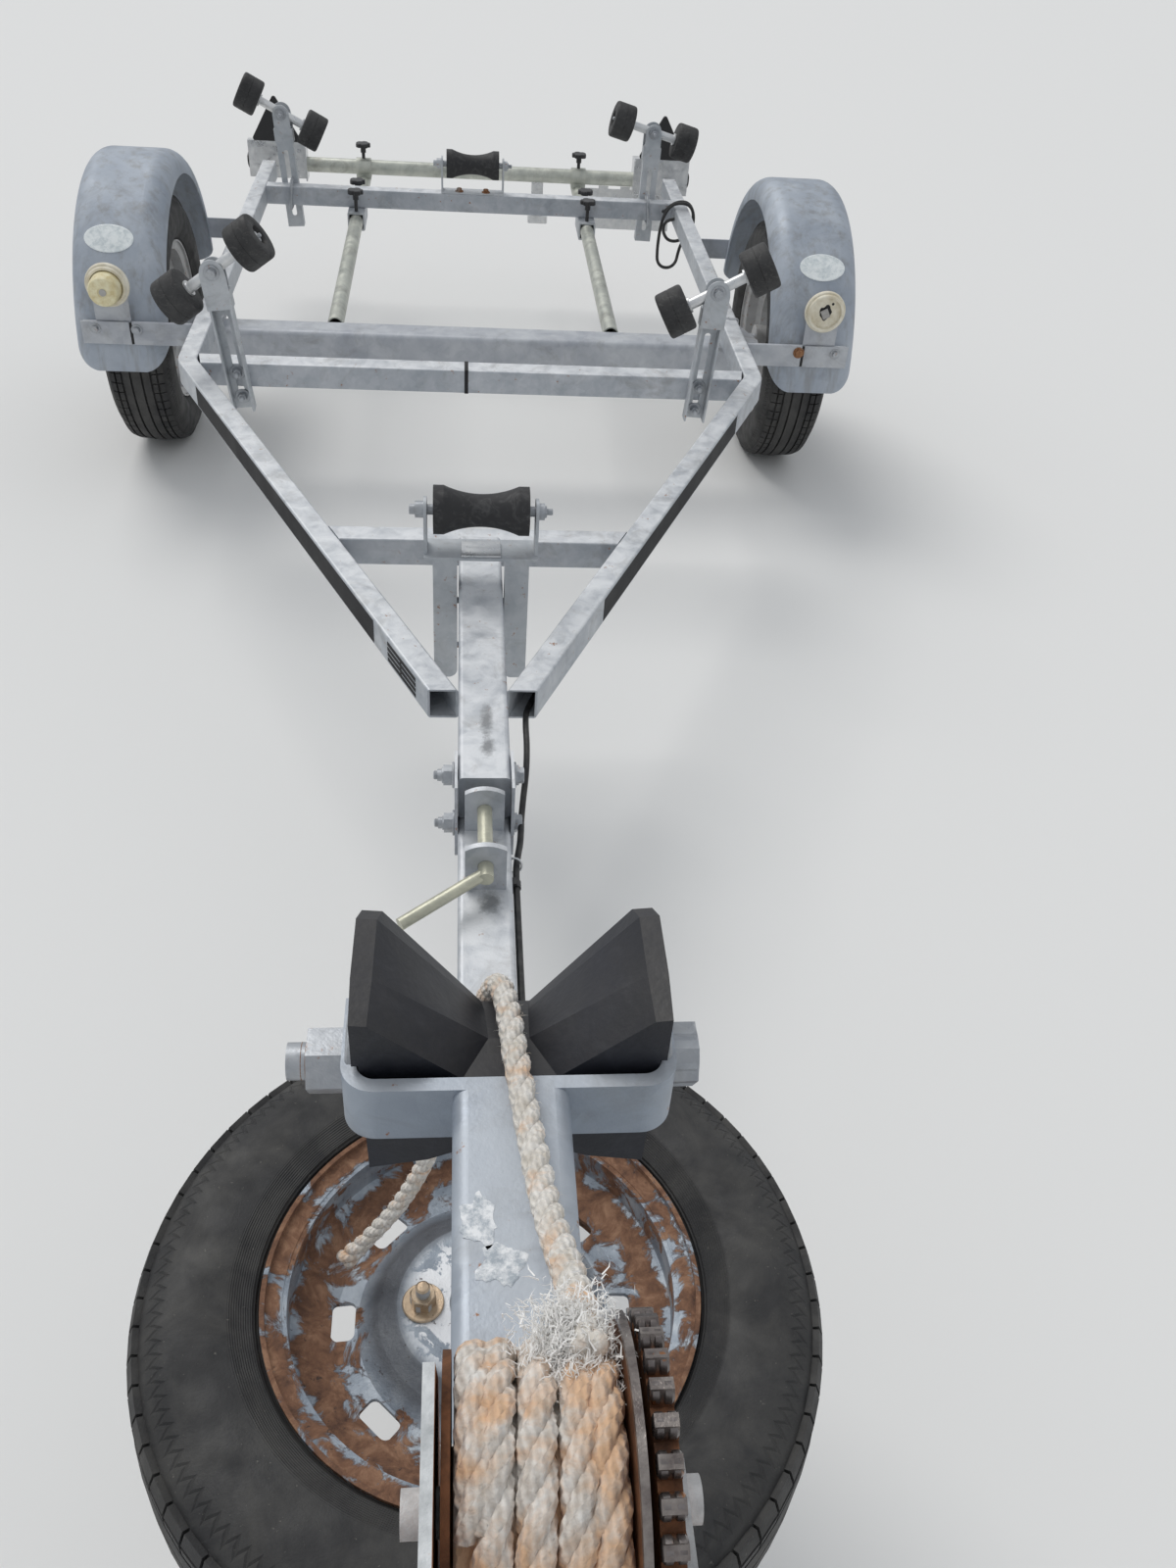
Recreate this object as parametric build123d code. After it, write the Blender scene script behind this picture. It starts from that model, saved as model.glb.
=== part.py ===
from build123d import *
import os
from math import acos, atan, atan2, cos, degrees, hypot, pi, radians, sin, sqrt, tan

os.makedirs("parts", exist_ok=True)

# A boat trailer of galvanised box tube, in millimetres. X is to the right of someone who
# faces its tail, Z is up from the floor. Y runs to the tail, and is counted from the
# frame's two front corners while the pieces are made. At the end everything moves
# forward or back so that the middle of the trailer's length is at Y = 0.

# Frame
FRAME_TOP = 420
FRAME_HALF = 620.5
FRAME_TAIL = 1514
APEX_Y = -1165
RAIL_W = 40
RAIL_H = 50
RAIL_WALL = 3
RAIL_ROUND = 4
RAIL_BEND = 70
CORNER_CROSS_Y = 12
CORNER_CROSS_W = 50
REAR_CROSS_Y = 1278
ROLLER_CROSS_Y = -712.5
ROLLER_CROSS_W = 45
CROSS_W = 40

# Drawbar: a rear tube on the frame and a front tube that tilts under its end
TUBE = 70
TUBE_WALL = 4
TUBE_ROUND = 7
REAR_TUBE_TOP = 428
REAR_TUBE_FRONT = -1373
FRONT_TUBE_FRONT = -2990
TUBE_GAP = 0.5
END_PLATE = 5
HINGE_Y = -1342
HINGE_BOLT_R = 8
HINGE_UPPER_RISE = 85
SIDE_PLATE = 4
SIDE_PLATE_FRONT = 56
SIDE_PLATE_REAR = 22
BOLT_CLEAR = 0.05
SEAT = 0.3

# Tilt latch
LATCH_Y = (-1402, -1509)
LATCH_PLATE = 8
LATCH_W = 52
LATCH_H = 74
LATCH_ARCH_R = 46
PIN_R = 9.7
PIN_RISE = 40
PIN_CLEAR = 0.3
PIN_TIP = 13
PIN_HEAD_Y = -1532
PIN_HOLE_EXTRA = 3
HANDLE_R = 8
HANDLE_REACH = (-104, -70, -18)

# Axle and wheels
WHEEL_R = 289
WHEEL_X = 781
WHEEL_Y = 572
TYRE_W = 157
BEAD_R = 165
FLANGE_R = 182
RIM_HALF = 64
RIM_WALL = 4
WELL_R = 141
DISC_WALL = 5
DISC_OUT = 34
SLOT_AT_R = 118
CENTRE_HOLE_R = 28
HUB_R = 36
STUB_R = 15
BOLT_CIRCLE_R = 50
BOLT_HOLE_R = 7
BEAM_W = 80
BEAM_H = 70
BEAM_Y = 368
BEAM_TOP = 360
ARM_W = 30
ARM_CLEAR = 20.5
ARM_R = 38

# Mudguards
GUARD_R = 380
GUARD_W = 198
GUARD_X = 783
GUARD_SKIN = 3
GUARD_LIP = 52
GUARD_CORNER = 44
GUARD_END = 3
GUARD_FOOT_ROUND = 58
STAY_W = 50
STAY_T = 5
LAMP_X = 786
LAMP_Z = 499
LAMP_R = 46
LAMP_STEP = 17
LENS_R = 33
LENS_LONG = 36

# Side rollers on slotted uprights
UPRIGHT_W = 45
UPRIGHT_D = 28
UPRIGHT_T = 4
CAP_R = 24
CAP_SKIRT = 74
ROCKER_R = 11
ROCKER_HALF = 116
ROLLER_R = 47
ROLLER_W = 58
ROLLER_AT = 93.5
ROLLER_RECESS_R = 17
PIVOT_R = 6

# Keel rollers
KEEL_R = 37.5
KEEL_WAIST_R = 25
KEEL_W = 148
KEEL_PIN_R = 8
EAR_T = 5
EAR_GAP = 168
KEEL_FRONT = (-870, 477, 72)
KEEL_REAR = (1278, 420, 75)
STEM_W = 38
STEM_BOTTOM = 256
STEM_X = 37.5
STEM_BOLT_R = 5
STEM_BOLT_GAP = 86

# Light bar
SLIDE_X = 330
SLIDE_R = 19
SLIDE_FRONT = 416
SLIDE_CLEAR = 0.3
BAR_Y = 1620
BAR_R = 21
BAR_HALF = 500
SLEEVE = 48
SLEEVE_HALF = 68
LAMP_PLATE_W = 175
LAMP_PLATE_LOW = 345
LAMP_PLATE_HIGH = 448
TRIANGLE = 150
BOARD = (356, 625, 237)

# Winch post, bow chock and winch
POST_X = -5
POST_Y = -2470
POST = 60
POST_WALL = 4
FOOT_HALF = 52
ARM_TOP = 970
BRACKET_Y = -2276
BRACKET_W = 175
BRACKET_H = 40
BRACKET_T = 8
BRACKET_REACH = 62
CHOCK_Y = -2240
CHOCK_Z = 950
CHOCK_BOLT_R = 10
DRUM_Y = -2502
DRUM_Z = 1038
DRUM_HALF = 29
DRUM_CORE_R = 20
ROPE_PACK_R = 55
FLANGE_DRUM_R = 62
GEAR_ROOT_R = 56
GEAR_W = 8
GEAR_TEETH = 32
DRUM_SHAFT_R = 8
CHEEK_LEFT = -34
CHEEK_RIGHT = 47
CRANK_R = 7

# Spare wheel
SPARE_X = -12
SPARE_Y = -2120

# Jockey wheel and coupling
JOCKEY_X = 82
JOCKEY_Y = -2745
JOCKEY_TUBE_R = 24
JOCKEY_LEG_R = 20.5
JOCKEY_WHEEL_R = 100
JOCKEY_WHEEL_W = 58
JOCKEY_TRAIL = 45
JOCKEY_LOW = 287
JOCKEY_HIGH = 650
JOCKEY_CLEAR = 0.08
SWIVEL_R = 10
COUPLING_Y = -3112
BALL_R = 25

# Free rope and lead
ROPE_R = 7
LEAD_R = 3.5
CLIP_Y = (-1476, -1760, -2010, -2260)
PLUG_Y = (-2606, -2668)
PLUG_AT = (59, 321)
PLUG_R = 20

rail_z = FRAME_TOP - RAIL_H / 2
frame_under = FRAME_TOP - RAIL_H
apex_run = hypot(FRAME_HALF - TUBE / 2, APEX_Y)
apex_turn = atan2(-APEX_Y, FRAME_HALF - TUBE / 2)
arm_angle = acos(RAIL_W / apex_run) - apex_turn
rear_tube_z = REAR_TUBE_TOP - TUBE / 2
front_tube_top = REAR_TUBE_TOP - TUBE - TUBE_GAP
front_tube_z = front_tube_top - TUBE / 2
hinge_z = front_tube_z
pin_z = front_tube_top + PIN_RISE
beam_half = WHEEL_X - TYRE_W / 2 - ARM_CLEAR - ARM_W
lamp_plate = (BAR_HALF, BAR_HALF + LAMP_PLATE_W, LAMP_PLATE_LOW, LAMP_PLATE_HIGH)
coupling_front = COUPLING_Y - 38
lamp_tail = BAR_Y + 62
length_middle = (coupling_front + lamp_tail) / 2


def block(x, y, z):
    """A block between three pairs of limits."""
    middle = [(low + high) / 2 for low, high in (x, y, z)]
    return Pos(*middle) * Box(x[1] - x[0], y[1] - y[0], z[1] - z[0])


def bar(start, end, radius, bore=0):
    """A round bar, or a tube when it has a bore, from one point to another."""
    run = Vector(*end) - Vector(*start)
    section = Circle(radius) - Circle(bore) if bore else Circle(radius)
    return extrude(Plane(origin=start, z_dir=run) * section, run.length)


def box_tube(width, height, wall, corner, x, z, y_from, y_to):
    """A hollow box tube that runs along Y."""
    section = RectangleRounded(width, height, corner) - Rectangle(width - 2 * wall, height - 2 * wall)
    plane = Plane(origin=(x, y_to, z), x_dir=(1, 0, 0), z_dir=(0, -1, 0))
    return extrude(plane * section, y_to - y_from)


def hex_bar(start, length, across):
    """A hexagon nut or bolt head along X."""
    plane = Plane(origin=start, x_dir=(0, 1, 0), z_dir=(1, 0, 0))
    return extrude(plane * RegularPolygon(across / 2, 6, major_radius=False), length)


def ring_profile(points):
    """A turned piece's half section, as radius and place along the axle, turned about X."""
    outline = Polyline(*[(along, 0, radius) for radius, along in points], close=True)
    return revolve(make_face(outline), Axis.X)


def both(piece):
    """A piece and its mirror image at the other side."""
    return [piece, mirror(piece, Plane.YZ)]


def node(name, *solids):
    """Writes one node's solids, moved so that the trailer's middle is at Y = 0."""
    parts = []
    for solid in solids:
        parts += solid.solids()
    placed = [Pos(0, -length_middle, 0) * part for part in parts]
    whole = placed[0] if len(placed) == 1 else Compound(children=placed)
    export_step(whole, f"parts/{name}.step")


# Main frame: two bent side members, three cross members and the drawbar's rear tube

def rail_path(past_apex):
    x = FRAME_HALF - RAIL_W / 2
    turn_y = RAIL_W / 2 * tan(arm_angle / 2)
    reach = -APEX_Y / cos(arm_angle) + past_apex
    apex = (x - reach * sin(arm_angle), turn_y - reach * cos(arm_angle), rail_z)
    return FilletPolyline((x, FRAME_TAIL, rail_z), (x, turn_y, rail_z), apex, radius=RAIL_BEND)


def rail_sweep(section):
    plane = Plane(origin=(FRAME_HALF - RAIL_W / 2, FRAME_TAIL, rail_z), x_dir=(1, 0, 0), z_dir=(0, -1, 0))
    rail = sweep(plane * section, path=rail_path(60))
    return rail - block((-300, 400), (APEX_Y - 200, APEX_Y), (0, 600))


def side_rail():
    outside = RectangleRounded(RAIL_W, RAIL_H, RAIL_ROUND)
    bore = Rectangle(RAIL_W - 2 * RAIL_WALL, RAIL_H - 2 * RAIL_WALL)
    return rail_sweep(outside - bore)


def rail_inner_x(y):
    """Half the width between the frame's arms, or between its side members."""
    if y >= 0:
        return FRAME_HALF - RAIL_W
    return FRAME_HALF + y * tan(arm_angle) - RAIL_W / cos(arm_angle)


def cross_tube(y, width):
    front, rear = y - width / 2, y + width / 2
    xf, xr = rail_inner_x(front), rail_inner_x(rear)
    plan = Polygon((-xf, front), (xf, front), (xr, rear), (-xr, rear), align=None)
    tube = extrude(Plane.XY.offset(frame_under) * plan, RAIL_H)
    tube = fillet(tube.edges().filter_by(Axis.X), RAIL_ROUND)
    inside = RAIL_WALL
    return tube - block((-FRAME_HALF, FRAME_HALF), (front + inside, rear - inside),
                        (frame_under + inside, FRAME_TOP - inside))


def cross_members():
    envelope = rail_sweep(Rectangle(RAIL_W, RAIL_H))
    corner = cross_tube(CORNER_CROSS_Y, CORNER_CROSS_W)
    for rail in both(envelope):
        corner = corner - rail
    return [cross_tube(REAR_CROSS_Y, CROSS_W), corner, cross_tube(ROLLER_CROSS_Y, ROLLER_CROSS_W)]


def hinge_bolt_places():
    return [(HINGE_Y, hinge_z), (HINGE_Y, hinge_z + HINGE_UPPER_RISE)]


def drawbar_rear_tube():
    rear = ROLLER_CROSS_Y - ROLLER_CROSS_W / 2
    tube = box_tube(TUBE, TUBE, TUBE_WALL, TUBE_ROUND, 0, rear_tube_z, REAR_TUBE_FRONT + END_PLATE, rear)
    plate_plane = Plane(origin=(0, REAR_TUBE_FRONT + END_PLATE, rear_tube_z), x_dir=(1, 0, 0),
                        z_dir=(0, -1, 0))
    plate = extrude(plate_plane * RectangleRounded(TUBE, TUBE, TUBE_ROUND), END_PLATE)
    hole_r = PIN_R + PIN_HOLE_EXTRA
    plate = plate - bar((0, REAR_TUBE_FRONT - 5, pin_z), (0, REAR_TUBE_FRONT + 10, pin_z), hole_r)
    for y, z, radius in (hinge_bolt_places()[1] + (HINGE_BOLT_R,), stem_bolt_places()[0] + (STEM_BOLT_R,)):
        tube = tube - bar((-TUBE, y, z), (TUBE, y, z), radius + BOLT_CLEAR)
    return [tube, plate]


def hinge_bolts():
    """The front tube's hinge bolt below and the cheek plates' bolt above it."""
    inside = TUBE / 2 + SEAT + SIDE_PLATE
    bolts = []
    for y, z in hinge_bolt_places():
        shank = bar((-inside - 23, y, z), (inside, y, z), HINGE_BOLT_R)
        bolts.append(shank + hex_bar((inside, y, z), 7, 24) + hex_bar((-inside - 15, y, z), 15, 24))
    return bolts


def tilt_plates():
    """Two cheek plates, bolted to the rear tube, that hold the front tube's hinge bolt."""
    low = hinge_z - SIDE_PLATE_REAR
    high = REAR_TUBE_TOP + 4
    front, rear = HINGE_Y - SIDE_PLATE_FRONT, HINGE_Y + SIDE_PLATE_REAR
    inside = TUBE / 2 + SEAT
    plate = block((inside, inside + SIDE_PLATE), (front, rear), (low, high))
    plate = chamfer(plate.edges().filter_by(Axis.X).group_by(Axis.Z)[0], 14)
    for y, z in hinge_bolt_places():
        plate = plate - bar((0, y, z), (2 * TUBE, y, z), HINGE_BOLT_R + BOLT_CLEAR)
    return both(plate)


# Axle beam with its trailing arms and stub axles

def axle():
    section = Plane(origin=(-beam_half, BEAM_Y, BEAM_TOP - BEAM_H / 2), x_dir=(0, 1, 0), z_dir=(1, 0, 0))
    whole = extrude(section * RectangleRounded(BEAM_W, BEAM_H, 14), 2 * beam_half)
    arm_y, arm_z = BEAM_Y, BEAM_TOP - BEAM_H / 2
    hull = make_hull([
        Pos(arm_y, arm_z) * CenterArc((0, 0), ARM_R, 0, 360),
        Pos(WHEEL_Y, WHEEL_R) * CenterArc((0, 0), ARM_R - 8, 0, 360),
    ])
    plane = Plane(origin=(beam_half, 0, 0), x_dir=(0, 1, 0), z_dir=(1, 0, 0))
    arm = extrude(plane * hull, ARM_W)
    arm = arm + bar((beam_half, WHEEL_Y, WHEEL_R), (WHEEL_X + 18, WHEEL_Y, WHEEL_R), STUB_R)
    pad = block((FRAME_HALF - RAIL_W, FRAME_HALF), (BEAM_Y - 50, BEAM_Y + 50), (BEAM_TOP, frame_under))
    for side_arm, side_pad in zip(both(arm), both(pad)):
        whole = whole + side_arm + side_pad
    return whole


# Wheels: a pressed rim with a slotted disc and hub, and a solid-sided tyre

def tyre():
    half = TYRE_W / 2
    bead = BEAD_R + 0.3
    side = [
        (bead, RIM_HALF - 11),
        (FLANGE_R + 0.5, RIM_HALF - 6.5),
        (FLANGE_R + 4, RIM_HALF + 2),
        (FLANGE_R + 22, half - 3),
        (WHEEL_R - 58, half),
        (WHEEL_R - 28, half - 6),
        (WHEEL_R - 9, half - 19),
        (WHEEL_R - 3, half - 30),
        (WHEEL_R, half - 55),
    ]
    other = [(radius, -along) for radius, along in reversed(side)]
    return ring_profile(side + other)


def rim():
    """Rim and disc about the origin, with the outer face towards +X."""
    outer = [
        (FLANGE_R, -RIM_HALF), (FLANGE_R, -RIM_HALF + 5), (BEAD_R, -RIM_HALF + 9), (BEAD_R, -30),
        (WELL_R, -20), (WELL_R, 14), (BEAD_R, 24), (BEAD_R, RIM_HALF - 9),
        (FLANGE_R, RIM_HALF - 5), (FLANGE_R, RIM_HALF),
    ]
    inner = [(radius - RIM_WALL, along * 0.97) for radius, along in reversed(outer[1:-1])]
    inner = [(FLANGE_R - RIM_WALL, RIM_HALF)] + inner + [(FLANGE_R - RIM_WALL, -RIM_HALF)]
    barrel = ring_profile(outer + inner)
    seat = WELL_R - RIM_WALL + 1
    face = [(CENTRE_HOLE_R, DISC_OUT), (72, DISC_OUT), (88, 24), (106, 10), (seat - 14, 8), (seat, 14)]
    back = [(radius, along - DISC_WALL) for radius, along in reversed(face)]
    disc = ring_profile(face + back)
    for step in range(8):
        slot = Pos(0, 0, SLOT_AT_R) * extrude(Plane.YZ.offset(-20) * RectangleRounded(34, 20, 6), 60)
        disc = disc - Rot(step * 45, 0, 0) * slot
    for place in bolt_places():
        disc = disc - place * bar((0, 0, 0), (60, 0, 0), BOLT_HOLE_R)
    return barrel + disc


def bolt_places():
    return [Rot(step * 90, 0, 0) * Pos(0, 0, BOLT_CIRCLE_R) for step in range(4)]


def wheel():
    """A rim with its hub, grease cap and four wheel bolts."""
    bore = STUB_R + BOLT_CLEAR
    back = DISC_OUT - DISC_WALL
    spigot = CENTRE_HOLE_R - 0.5
    hub = ring_profile([
        (bore, -62), (HUB_R, -62), (HUB_R, -10), (64, 12), (64, back), (spigot, back), (spigot, 52),
        (20, 60), (0, 60), (0, 22), (bore, 22),
    ])
    whole = rim() + hub
    for place in bolt_places():
        whole = whole + place * (bar((back - 2, 0, 0), (DISC_OUT, 0, 0),
                                     BOLT_HOLE_R) + hex_bar((DISC_OUT, 0, 0), 11, 17))
    return whole


def wheel_place(side):
    turn = Rot(0, 0, 0) if side > 0 else Rot(0, 0, 180)
    return Pos(side * WHEEL_X, WHEEL_Y, WHEEL_R) * turn


# Mudguards, their stays and the front marker lamps

def guard_section(half, crown, corner):
    """The guard's section at one offset, from its lips' edges out, as X and radius."""
    lip = GUARD_R - GUARD_LIP - (GUARD_R - crown)
    outline = Pos(GUARD_X, (crown + lip) / 2) * Rectangle(2 * half, crown - lip)
    return fillet(outline.vertices().group_by(Axis.Y)[-1], corner)


def mudguard():
    half = GUARD_W / 2
    skin = guard_section(half, GUARD_R, GUARD_CORNER)
    skin = skin - guard_section(half - GUARD_SKIN, GUARD_R - GUARD_SKIN, GUARD_CORNER - GUARD_SKIN)
    guard = revolve(Rot(GUARD_END - 90, 0, 0) * (Plane.XZ * skin), Axis.X, 180 - 2 * GUARD_END)
    low = GUARD_R * sin(radians(GUARD_END))
    inset = GUARD_FOOT_ROUND - 0.8
    reach = GUARD_R + 2
    for side in (-1, 1):
        edge = GUARD_X + side * half
        middle, centre = edge - side * inset, low + inset
        corner = block(sorted((edge + 2 * side, middle)), (-reach, reach), (low - 10, centre))
        guard = guard - (corner - bar((middle, -reach, centre), (middle, reach, centre), GUARD_FOOT_ROUND))
    return Pos(0, WHEEL_Y, WHEEL_R) * guard


def stay_reach():
    """How far from the axle the guard's skin is at the height of the stays' lower edges."""
    return sqrt(GUARD_R**2 - (FRAME_TOP - STAY_W - WHEEL_R)**2) + SEAT


def mudguard_stays():
    out_x = GUARD_X + 74
    front, rear = WHEEL_Y - stay_reach(), WHEEL_Y + stay_reach()
    stays = []
    for near, far in ((front - STAY_T, front), (rear, rear + STAY_T)):
        stay = block((FRAME_HALF, out_x), (near, far), (FRAME_TOP - STAY_W, FRAME_TOP))
        stay = fillet(stay.edges().filter_by(Axis.Y).group_by(Axis.X)[-1], 10)
        stays += both(stay)
    return stays


def marker_lamps():
    """A plate up from each stay with a stepped lamp base, and a lens on the left one."""
    face = WHEEL_Y - stay_reach()
    plate = block((LAMP_X - 38, LAMP_X + 38), (face - 3, face), (FRAME_TOP + SEAT, LAMP_Z + 20))
    plane = Plane(origin=(LAMP_X, face - 3, LAMP_Z), x_dir=(1, 0, 0), z_dir=(0, -1, 0))
    base = extrude(plane * Circle(LAMP_R), LAMP_STEP / 2)
    base = base + extrude(plane * Circle(LAMP_R - 5), LAMP_STEP)
    base = base + plate
    lens_plane = plane.offset(LAMP_STEP)
    lens = extrude(lens_plane * Circle(LENS_R), LENS_LONG)
    lens = fillet(lens.edges().group_by(Axis.Y)[0], 5)
    open_base = base - extrude(lens_plane * Circle(LENS_R), -LAMP_STEP / 2)
    return [mirror(base + lens, Plane.YZ), open_base]


# Side rollers. Columns: name, X and Z of the foot, X and Z of the pivot, Y of the cross
# member's face it stands on, the way it faces, and the rocker's tilt, positive right end up
corner_face = CORNER_CROSS_Y - CORNER_CROSS_W / 2
rear_face = REAR_CROSS_Y + CROSS_W / 2
SIDE_ROLLERS = (
    ("front_left", -487, 326, -520, 614, corner_face, -1, 36),
    ("front_right", 473, 333, 491, 612, corner_face, -1, 29),
    ("rear_left", -509, 300, -530, 597, rear_face, 1, -27),
    ("rear_right", 506, 300, 513, 595, rear_face, 1, -15),
)
ROCKER_Y = UPRIGHT_T + (UPRIGHT_D - UPRIGHT_T) / 2


def upright_frame(row):
    """The upright's own frame: origin on its pivot, Z up along it, Y out of its open side."""
    name, foot_x, foot_z, pivot_x, pivot_z, face, facing, tilt = row
    up = Vector(pivot_x - foot_x, 0, pivot_z - foot_z).normalized()
    across = Vector(0, facing, 0).cross(up)
    return Location(Plane(origin=(pivot_x, face, pivot_z), x_dir=across, z_dir=up))


def upright_length(row):
    return hypot(row[3] - row[1], row[4] - row[2])


def upright(row):
    long = upright_length(row)
    half = UPRIGHT_W / 2
    inner = half - UPRIGHT_T
    head = -34
    channel = block((-half, half), (0, UPRIGHT_D), (-long, head))
    channel = channel - block((-inner, inner), (UPRIGHT_T, UPRIGHT_D + 1), (-long - 1, head + 1))
    slot_low, slot_high = -long + 30, -CAP_SKIRT - 18
    slot_plane = Plane(origin=(0, -1, (slot_low + slot_high) / 2), x_dir=(0, 0, 1), z_dir=(0, 1, 0))
    channel = channel - extrude(slot_plane * SlotOverall(slot_high - slot_low, 13), UPRIGHT_T + 2)
    skin = UPRIGHT_T - 1
    cap_half = half + skin
    side_top = -38
    cheek_plane = Plane(origin=(0, 0, 0), x_dir=(1, 0, 0), z_dir=(0, -1, 0))
    cheek = Polygon((-cap_half, -CAP_SKIRT), (cap_half, -CAP_SKIRT), (cap_half, -6), (CAP_R, 4),
                    (-CAP_R, 4), (-cap_half, -6), align=None)
    cheek = cheek + Circle(CAP_R)
    front = extrude(cheek_plane * cheek, skin)
    cap = Pos(0, UPRIGHT_D + skin, 0) * front
    web = Polygon((-half, head - 1), (half, head - 1), (half, -6), (CAP_R - 2, 4), (-CAP_R + 2, 4),
                  (-half, -6), align=None)
    web = web + Circle(CAP_R - 2)
    back = Pos(0, UPRIGHT_T, 0) * extrude(cheek_plane * web, UPRIGHT_T)
    for side in (-1, 1):
        near, far = sorted((side * half, side * cap_half))
        cap = cap + block((near, far), (0, UPRIGHT_D + skin), (-CAP_SKIRT, side_top))
    whole = channel + cap + back
    return whole - bar((0, -5, 0), (0, UPRIGHT_D + 10, 0), PIVOT_R + BOLT_CLEAR)


def pivot_bolt():
    nut = bar((0, -8, 0), (0, 0, 0), 10)
    head = bar((0, UPRIGHT_D + UPRIGHT_T - 1, 0), (0, UPRIGHT_D + UPRIGHT_T + 7, 0), 10)
    return bar((0, -8, 0), (0, UPRIGHT_D + UPRIGHT_T, 0), PIVOT_R) + nut + head


def rocker():
    """Cross axle of one roller pair, along X about its pivot."""
    axle_bar = bar((-ROCKER_HALF, 0, 0), (ROCKER_HALF, 0, 0), ROCKER_R)
    collar_at = ROLLER_AT - ROLLER_W / 2
    for side in (-1, 1):
        near = side * (collar_at - 0.4)
        axle_bar = axle_bar + bar((near - side * 4, 0, 0), (near, 0, 0), ROCKER_R + 5)
        keeper = side * (ROLLER_AT + ROLLER_W / 2 - 17.6)
        axle_bar = axle_bar + bar((keeper, 0, 0), (keeper + side * 4, 0, 0), ROCKER_R + 3)
    return axle_bar - bar((0, -30, 0), (0, 30, 0), PIVOT_R + BOLT_CLEAR)


def side_roller(side):
    half = ROLLER_W / 2
    bore = ROCKER_R + BOLT_CLEAR
    solid = ring_profile([
        (bore, -half), (ROLLER_R - 4, -half), (ROLLER_R, -half + 4), (ROLLER_R, half - 4),
        (ROLLER_R - 4, half), (ROLLER_RECESS_R, half), (ROLLER_RECESS_R, half - 18), (bore, half - 18),
    ])
    turn = Rot(0, 0, 0) if side > 0 else Rot(0, 0, 180)
    return Pos(side * ROLLER_AT, 0, 0) * turn * solid


def rocker_place(row):
    return upright_frame(row) * Pos(0, ROCKER_Y, 0) * Rot(0, -rocker_turn(row), 0)


def rocker_turn(row):
    """The rocker's tilt in the upright's own frame, which leans and may face either way."""
    lean = degrees(atan2(row[3] - row[1], row[4] - row[2]))
    return row[6] * (row[7] + lean)


# Keel rollers

def keel_ears(height, ear_w, base_w):
    """A bracket bent from flat bar: a base between two upright ears with a pin hole."""
    half = EAR_GAP / 2
    ear = block((half, half + EAR_T), (-ear_w / 2, ear_w / 2), (0, height + 20))
    ear = fillet(ear.edges().filter_by(Axis.X).group_by(Axis.Z)[-1], ear_w / 2 - 0.5)
    base = block((-half - EAR_T, half + EAR_T), (-base_w / 2, base_w / 2), (0, EAR_T))
    base = fillet(base.edges().filter_by(Axis.Y).group_by(Axis.Z)[0], EAR_T - 1)
    whole = base
    for side in both(ear):
        whole = whole + side
    hole = bar((-2 * half, 0, height), (2 * half, 0, height), KEEL_PIN_R + BOLT_CLEAR)
    return whole - hole


def keel_bracket_front():
    y, z, rise = KEEL_FRONT
    bracket = Pos(0, y, z) * keel_ears(rise, 40, 60)
    front = y - 30
    for side in (-1, 1):
        near, far = sorted((side * STEM_X, side * (STEM_X + STEM_W)))
        leg = block((near, far), (front, front + 5), (STEM_BOTTOM, z))
        leg = fillet(leg.edges().filter_by(Axis.Y).group_by(Axis.Z)[0], STEM_W / 2 - 4)
        inner = sorted((side * STEM_X, side * (STEM_X + 5)))
        flange = block(inner, (front, front + 34), (STEM_BOTTOM + 20, z))
        bracket = bracket + leg + flange
    for y, z in stem_bolt_places():
        bracket = bracket - bar((-2 * STEM_X, y, z), (2 * STEM_X, y, z), STEM_BOLT_R + BOLT_CLEAR)
    return bracket


def stem_bolt_places():
    y = KEEL_FRONT[0] - 10
    return [(y, rear_tube_z), (y, rear_tube_z - STEM_BOLT_GAP)]


def stem_bolts():
    """Two cross bolts that hold the front roller's stem: one through the drawbar tube, one under it."""
    reach = STEM_X + 5
    bolts = []
    for y, z in stem_bolt_places():
        bolt = bar((-reach - 14, y, z), (reach, y, z), STEM_BOLT_R)
        bolts.append(bolt + hex_bar((reach, y, z), 6, 16) + hex_bar((-reach - 9, y, z), 9, 16))
    return bolts


def keel_bracket_rear():
    y, z, rise = KEEL_REAR
    return Pos(0, y, z) * keel_ears(rise, 36, CROSS_W)


def keel_pin():
    half = EAR_GAP / 2 + EAR_T
    pin = bar((-half - 22, 0, 0), (half + 9, 0, 0), KEEL_PIN_R)
    pin = pin + bar((half, 0, 0), (half + 9, 0, 0), 13)
    return pin + bar((-half - 13, 0, 0), (-half, 0, 0), 13)


def keel_roller():
    """An hourglass roller, turned from an arc between two short cylinders."""
    half = KEEL_W / 2
    shoulder = half - 16
    bore = KEEL_PIN_R + BOLT_CLEAR
    outline = [
        Line((-half, bore), (-half, KEEL_R)), Line((-half, KEEL_R), (-shoulder, KEEL_R)),
        ThreePointArc((-shoulder, KEEL_R), (0, KEEL_WAIST_R), (shoulder, KEEL_R)),
        Line((shoulder, KEEL_R), (half, KEEL_R)), Line((half, KEEL_R), (half, bore)),
        Line((half, bore), (-half, bore)),
    ]
    return revolve(Plane.XZ * make_face(outline), Axis.X)


def keel_place(spot):
    y, z, rise = spot
    return Pos(0, y, z + rise)


# Light bar that slides out of two square sleeves under the rear cross member
sleeve_top = frame_under
slide_z = sleeve_top - SLEEVE / 2
bar_z = slide_z + SLIDE_R + BAR_R + SLIDE_CLEAR


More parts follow.
